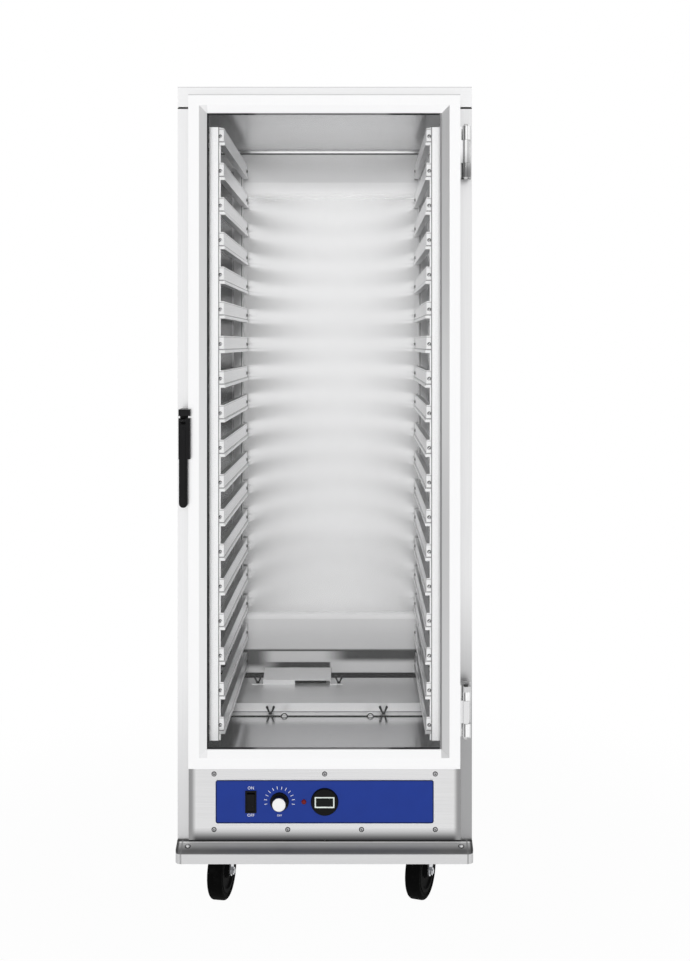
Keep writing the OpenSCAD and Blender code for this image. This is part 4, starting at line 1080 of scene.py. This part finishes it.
    def paint_screw_shade(self) -> None:
        """Paints shade on each screw that faces forward: dark bars in its cross recess and a painted
        shadow ring round its head.
        """
        size = (self.recess_len, self.recess_t, self.recess_w)
        mesh = bmesh.new()
        for lo, hi in solids("panel_screws"):
            if hi.y - lo.y > self.upright_d:
                continue
            spot = Vector(((lo.x + hi.x) / 2, lo.y, (lo.z + hi.z) / 2))
            ring = Vector((spot.x, hi.y, spot.z))
            add_disc(mesh, (hi.x - lo.x) / 2 * self.ring_share, self.recess_t, ring)
            for angle in self.recess_turns:
                add_bar(mesh, size, placed(spot, math.radians(angle), "Y"))
        add_piece("screw_recess_shade", mesh, self.screw_shade.build())

    def head_ledge_screws(self) -> None:
        """Gives the ledge's screws domed heads, those at its ends on dark discs that paint a shadow
        ring round them.
        """
        heads, shadow_rings = bmesh.new(), bmesh.new()
        slope = math.radians(self.ledge_slope)
        for lo, hi in solids("panel_screws"):
            if hi.y - lo.y > self.upright_d:
                placing = placed((lo + hi) / 2, slope, "X")
                add_dome(heads, self.ledge_head_r, self.ledge_head_h, placing)
                add_dome(shadow_rings, self.ledge_head_r * self.ring_share, self.ledge_ring_h, placing)
        lo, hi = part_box("front_ledge")
        drop = self.ledge_mid * math.tan(slope)
        top = Vector(((lo.x + hi.x) / 2, hi.y - self.ledge_mid, hi.z - drop))
        add_dome(heads, self.ledge_head_r, self.ledge_head_h, placed(top, slope, "X"))
        add_piece("ledge_screw_heads", heads, self.bright.build())
        add_piece("ledge_screw_shadow_rings", shadow_rings, self.screw_shade.build())


@dataclass
class Door:
    """Frame, pane, seal, hinges and latch."""

    frame_metal: BrushedMetal = BrushedMetal(
        "door_frame_metal", grey(0.975), 0.3, 0.8, Grain.ALONG_Z, shade=0.985,
        # Painted shade: the left and right bevels are darker, the right one more so towards the
        # bottom, and a painted shadow line runs along the door's top edge under the cap.
        marks=(tone(0.86, Span(X, -0.2692, -0.2515), BEVEL),
               tone(0.63, Span(X, 0.2515, 0.2692), BEVEL, Span(Z, 0.0, 0.8, fall=0.45)),
               tone(0.55, Span(Z, 1.767, 2.0), share=0.8)))
    pane: ClearPane = ClearPane("clear_pane", 0.02, (0.95, 0.97, 0.97))
    seal: Moulded = Moulded("door_seal", grey(0.02, 0.001), 0.6)
    knuckle: BrushedMetal = BrushedMetal(
        "hinge_knuckle", grey(0.96), 0.2, 0.6, Grain.ALONG_Z, shade=0.97,
        # Painted light and shade: on the lower hinge a bright strip beside a painted shadow line,
        # with greyer sides; the rest grey, the upper hinge painted darker towards its foot and paler
        # at its top.
        marks=(tone(0.64, Span(X, 0.3122, 1.0, rise=0.001)),
               tone(0.72, Span(X, 0.0, 0.301)),
               tone(0.04, Span(X, 0.3006, 0.3022, 0.0006, 0.0006), blue=0.0),
               tone(0.6, Span(Z, 0.4862, 1.0)),
               tone(0.6, Span(Z, 0.0, 0.3908)),
               tone(0.78, Span(Z, 1.7004, 2.0)),
               tone(0.2, Span(Z, 1.0, 1.598, fall=0.055), blue=0.002)))
    leaf: BrushedMetal = BrushedMetal(
        "hinge_leaf", grey(0.58), 0.22, 1.0, Grain.ALONG_Z,
        # Painted light: the lower hinge's door leaf is paler than the upper one, whose top grows
        # pale.
        marks=(tone(0.78, Span(Z, 0.0, 1.0)), tone(0.95, Span(Z, 1.655, 2.0, rise=0.045))))
    cap: Moulded = Moulded("hinge_cap", grey(0.5, -0.005), 0.35,
                           # Painted shade: the lower hinge's pin cap is near black.
                           marks=(tone(0.03, Span(Z, 0.4982, 1.0), blue=0.0),))
    latch: Moulded = Moulded("latch_black", grey(0.005, 0.0005), 0.35, 1500.0, sheen_level=0.16)
    strike: PlatedMetal = PlatedMetal("strike_steel", grey(0.62, 0.01), 0.25)
    bead: Moulded = Moulded(
        "glazing_bead", grey(0.018, 0.001), 0.5,
        # Painted light: the bead is paler along its right side and across the middle of its top and
        # bottom, as painted reflection.
        marks=(tone(0.24, Span(X, 0.249, 1.0), blue=0.003),
               tone(0.15, Span(X, -0.14, 0.13, 0.02, 0.02), blue=0.002)))
    bead_outline: tuple[Pair, ...] = (
        (0.0, 0.0), (0.0, 0.7), (0.3, 1.0), (0.7, 1.0), (1.0, 0.6), (1.0, 0.0))
    bead_w: float = 3.6 * MM
    bead_t: float = 0.8 * MM

    def build(self) -> None:
        """Dresses the door and seals its pane."""
        dress(self.frame_metal, "door_stile_left", "door_stile_right",
              "door_rail_top", "door_rail_bottom")
        dress(self.pane, "door_window")
        dress(self.seal, "door_gasket")
        dress(self.knuckle, "hinge_frame_leaves")
        dress(self.leaf, "hinge_door_leaves")
        dress(self.cap, "hinge_pins")
        dress(self.latch, "latch_body", "latch_lever")
        dress(self.strike, "strike_plate", "latch_pin")
        self.seal_pane()

    def seal_pane(self) -> None:
        """Runs a rounded bead round the pane, in front of it, mitred at its corners."""
        left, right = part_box("door_stile_left")[1].x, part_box("door_stile_right")[0].x
        low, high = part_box("door_rail_bottom")[1].z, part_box("door_rail_top")[0].z
        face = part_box("door_window")[0].y
        mesh = bmesh.new()
        rings = []
        for inward, out in self.bead_outline:
            u, y = inward * self.bead_w, face - out * self.bead_t
            x0, x1, z0, z1 = left + u, right - u, low + u, high - u
            corners = ((x0, z0), (x1, z0), (x1, z1), (x0, z1))
            rings.append([mesh.verts.new((x, y, z)) for x, z in corners])
        for near, far in zip(rings, rings[1:] + rings[:1]):
            for i in range(4):
                j = (i + 1) % 4
                mesh.faces.new((near[i], near[j], far[j], far[i]))
        bmesh.ops.recalc_face_normals(mesh, faces=mesh.faces)
        add_piece("glazing_bead", mesh, self.bead.build(), "door")


@dataclass
class Casters:
    """Plates, forks and wheels."""

    zinc: PlatedMetal = PlatedMetal("caster_zinc", (0.66, 0.67, 0.69), 0.3)
    tyre: Colour = grey(0.0025, 0.0)
    core: Colour = grey(0.003, 0.0001)
    hub_share: float = 0.74
    corners: tuple[str, ...] = ("fl", "fr", "rl", "rr")

    def build(self) -> None:
        """Dresses the casters."""
        dress(self.zinc, "caster_plates", *(f"caster_fork_{c}" for c in self.corners))
        spins = {j["name"]: j for j in frame["joints"]}
        for corner in self.corners:
            joint = spins[f"roll_{corner}"]
            lo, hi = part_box(f"caster_wheel_{corner}")
            hub = (hi.z - lo.z) / 2 * self.hub_share
            centre, axis = tuple(joint["pos_m"]), tuple(joint["axis"])
            rubber = WheelRubber(f"wheel_rubber_{corner}", centre, axis, hub, self.tyre, self.core)
            dress(rubber, f"caster_wheel_{corner}")


@dataclass
class Studio:
    """Floor, light and camera."""

    image: tuple[int, int] = (690, 961)
    eye: Triple = (0.0767, -3.347, 1.235)
    focal_px: float = 1386.0
    ahead_px: Pair = (360.0, 343.0)
    sensor: float = 36.0
    floor_size: float = 40.0
    floor_tone: Colour = grey(0.7, 0.0)
    floor_roughness: float = 0.9
    floor_shade: float = 0.97
    shade_ends: Pair = (0.5, 1.6)
    ambient: float = 0.35
    right_dim: float = 0.4
    left_dim: float = 0.75
    dim_ends: Pair = (0.35, 0.8)
    key_power: float = 265.0
    key_size: float = 1.0
    key_place: Triple = (0.0, -6.4, 2.0)
    key_aim: Triple = (0.0, 0.0, 0.9)

    def build(self) -> None:
        """Sets the stage."""
        self.lay_floor()
        self.light_world()
        self.hang_key()
        self.place_camera()
        bpy.context.scene.view_settings.view_transform = "Standard"

    def rays(self, g: Graph) -> tuple[Wire, Wire]:
        """Tells rays apart.

        Args:
            g: The graph to work in.

        Returns:
            1 for rays from the eye, and 1 for those as well as rays off metal and through glass.
        """
        path = g.node("ShaderNodeLightPath")
        eye, gloss, glass = (Wire(g, path.outputs[f"Is {kind} Ray"])
                             for kind in ("Camera", "Glossy", "Transmission"))
        return eye, eye.at_least(gloss).at_least(glass)

    def lay_floor(self) -> None:
        """Lays the pale floor, which keeps the shadow."""
        mesh = bmesh.new()
        bmesh.ops.create_grid(mesh, x_segments=1, y_segments=1, size=self.floor_size / 2)
        data = bpy.data.meshes.new("floor")
        mesh.to_mesh(data)
        mesh.free()
        g = Graph.new("pale_floor")
        shader = g.wire("ShaderNodeBsdfPrincipled", 0, None,
                        {"Base Color": (*self.floor_tone, 1.0), "Roughness": self.floor_roughness})
        glow = g.wire("ShaderNodeEmission", 0, None, {"Color": WHITE, "Strength": 1.0})
        eye, direct = self.rays(g)
        shade = g.ease(g.length(g.place()), *self.shade_ends, self.floor_shade, 1.0)
        white = direct * (1.0 + eye * (shade - 1.0))
        mixed = g.wire("ShaderNodeMixShader", 0, None, {0: white, 1: shader, 2: glow})
        data.materials.append(g.close(mixed))
        floor = bpy.data.objects.new("floor", data)
        bpy.context.scene.collection.objects.link(floor)

    def light_world(self) -> None:
        """Makes the world white to the eye and a soft light, dimmer at the sides, to the object."""
        world = bpy.data.worlds.new("studio")
        bpy.context.scene.world = world
        g = Graph(world, "ShaderNodeOutputWorld")
        eye, direct = self.rays(g)
        across = g.parts(g.wire("ShaderNodeTexCoord", "Generated"))[0]
        right, left = (g.ease(side * across, *self.dim_ends) for side in (1.0, -1.0))
        dim = right * self.right_dim + left * self.left_dim
        plain = self.ambient + direct * (1.0 - self.ambient)
        strength = eye + (1.0 - eye) * plain * (1.0 - dim)
        g.close(g.wire("ShaderNodeBackground", 0, None, {"Color": WHITE, "Strength": strength}))

    def hang_key(self) -> None:
        """Hangs one soft lamp behind the camera and above it, unseen in reflections."""
        data = bpy.data.lights.new("key", "AREA")
        data.energy = self.key_power
        data.shape = "DISK"
        data.size = self.key_size
        lamp = bpy.data.objects.new("key", data)
        aim = Vector(self.key_aim) - Vector(self.key_place)
        lamp.location = self.key_place
        lamp.rotation_euler = aim.to_track_quat("-Z", "Y").to_euler()
        lamp.visible_glossy = False
        bpy.context.scene.collection.objects.link(lamp)

    def place_camera(self) -> None:
        """Sets the camera level, square to the door, with the photograph's framing."""
        data = bpy.data.cameras.new("camera")
        longest = max(self.image)
        data.sensor_width = self.sensor
        data.lens = self.focal_px / longest * self.sensor
        data.shift_x = (self.image[0] / 2 - self.ahead_px[0]) / longest
        data.shift_y = (self.ahead_px[1] - self.image[1] / 2) / longest
        camera = bpy.data.objects.new("camera", data)
        camera.location = self.eye
        camera.rotation_euler = (QUARTER, 0.0, 0.0)
        bpy.context.scene.collection.objects.link(camera)
        bpy.context.scene.camera = camera


def main() -> None:
    """Builds the sub-assemblies in order."""
    logging.basicConfig(level=logging.INFO, format="%(name)s: %(message)s")
    for assembly in (Shell(), Cavity(), Rack(), Controls(), Door(), Casters(), Studio()):
        LOG.info("building %s", type(assembly).__name__)
        assembly.build()


if __name__ == "__main__":
    main()
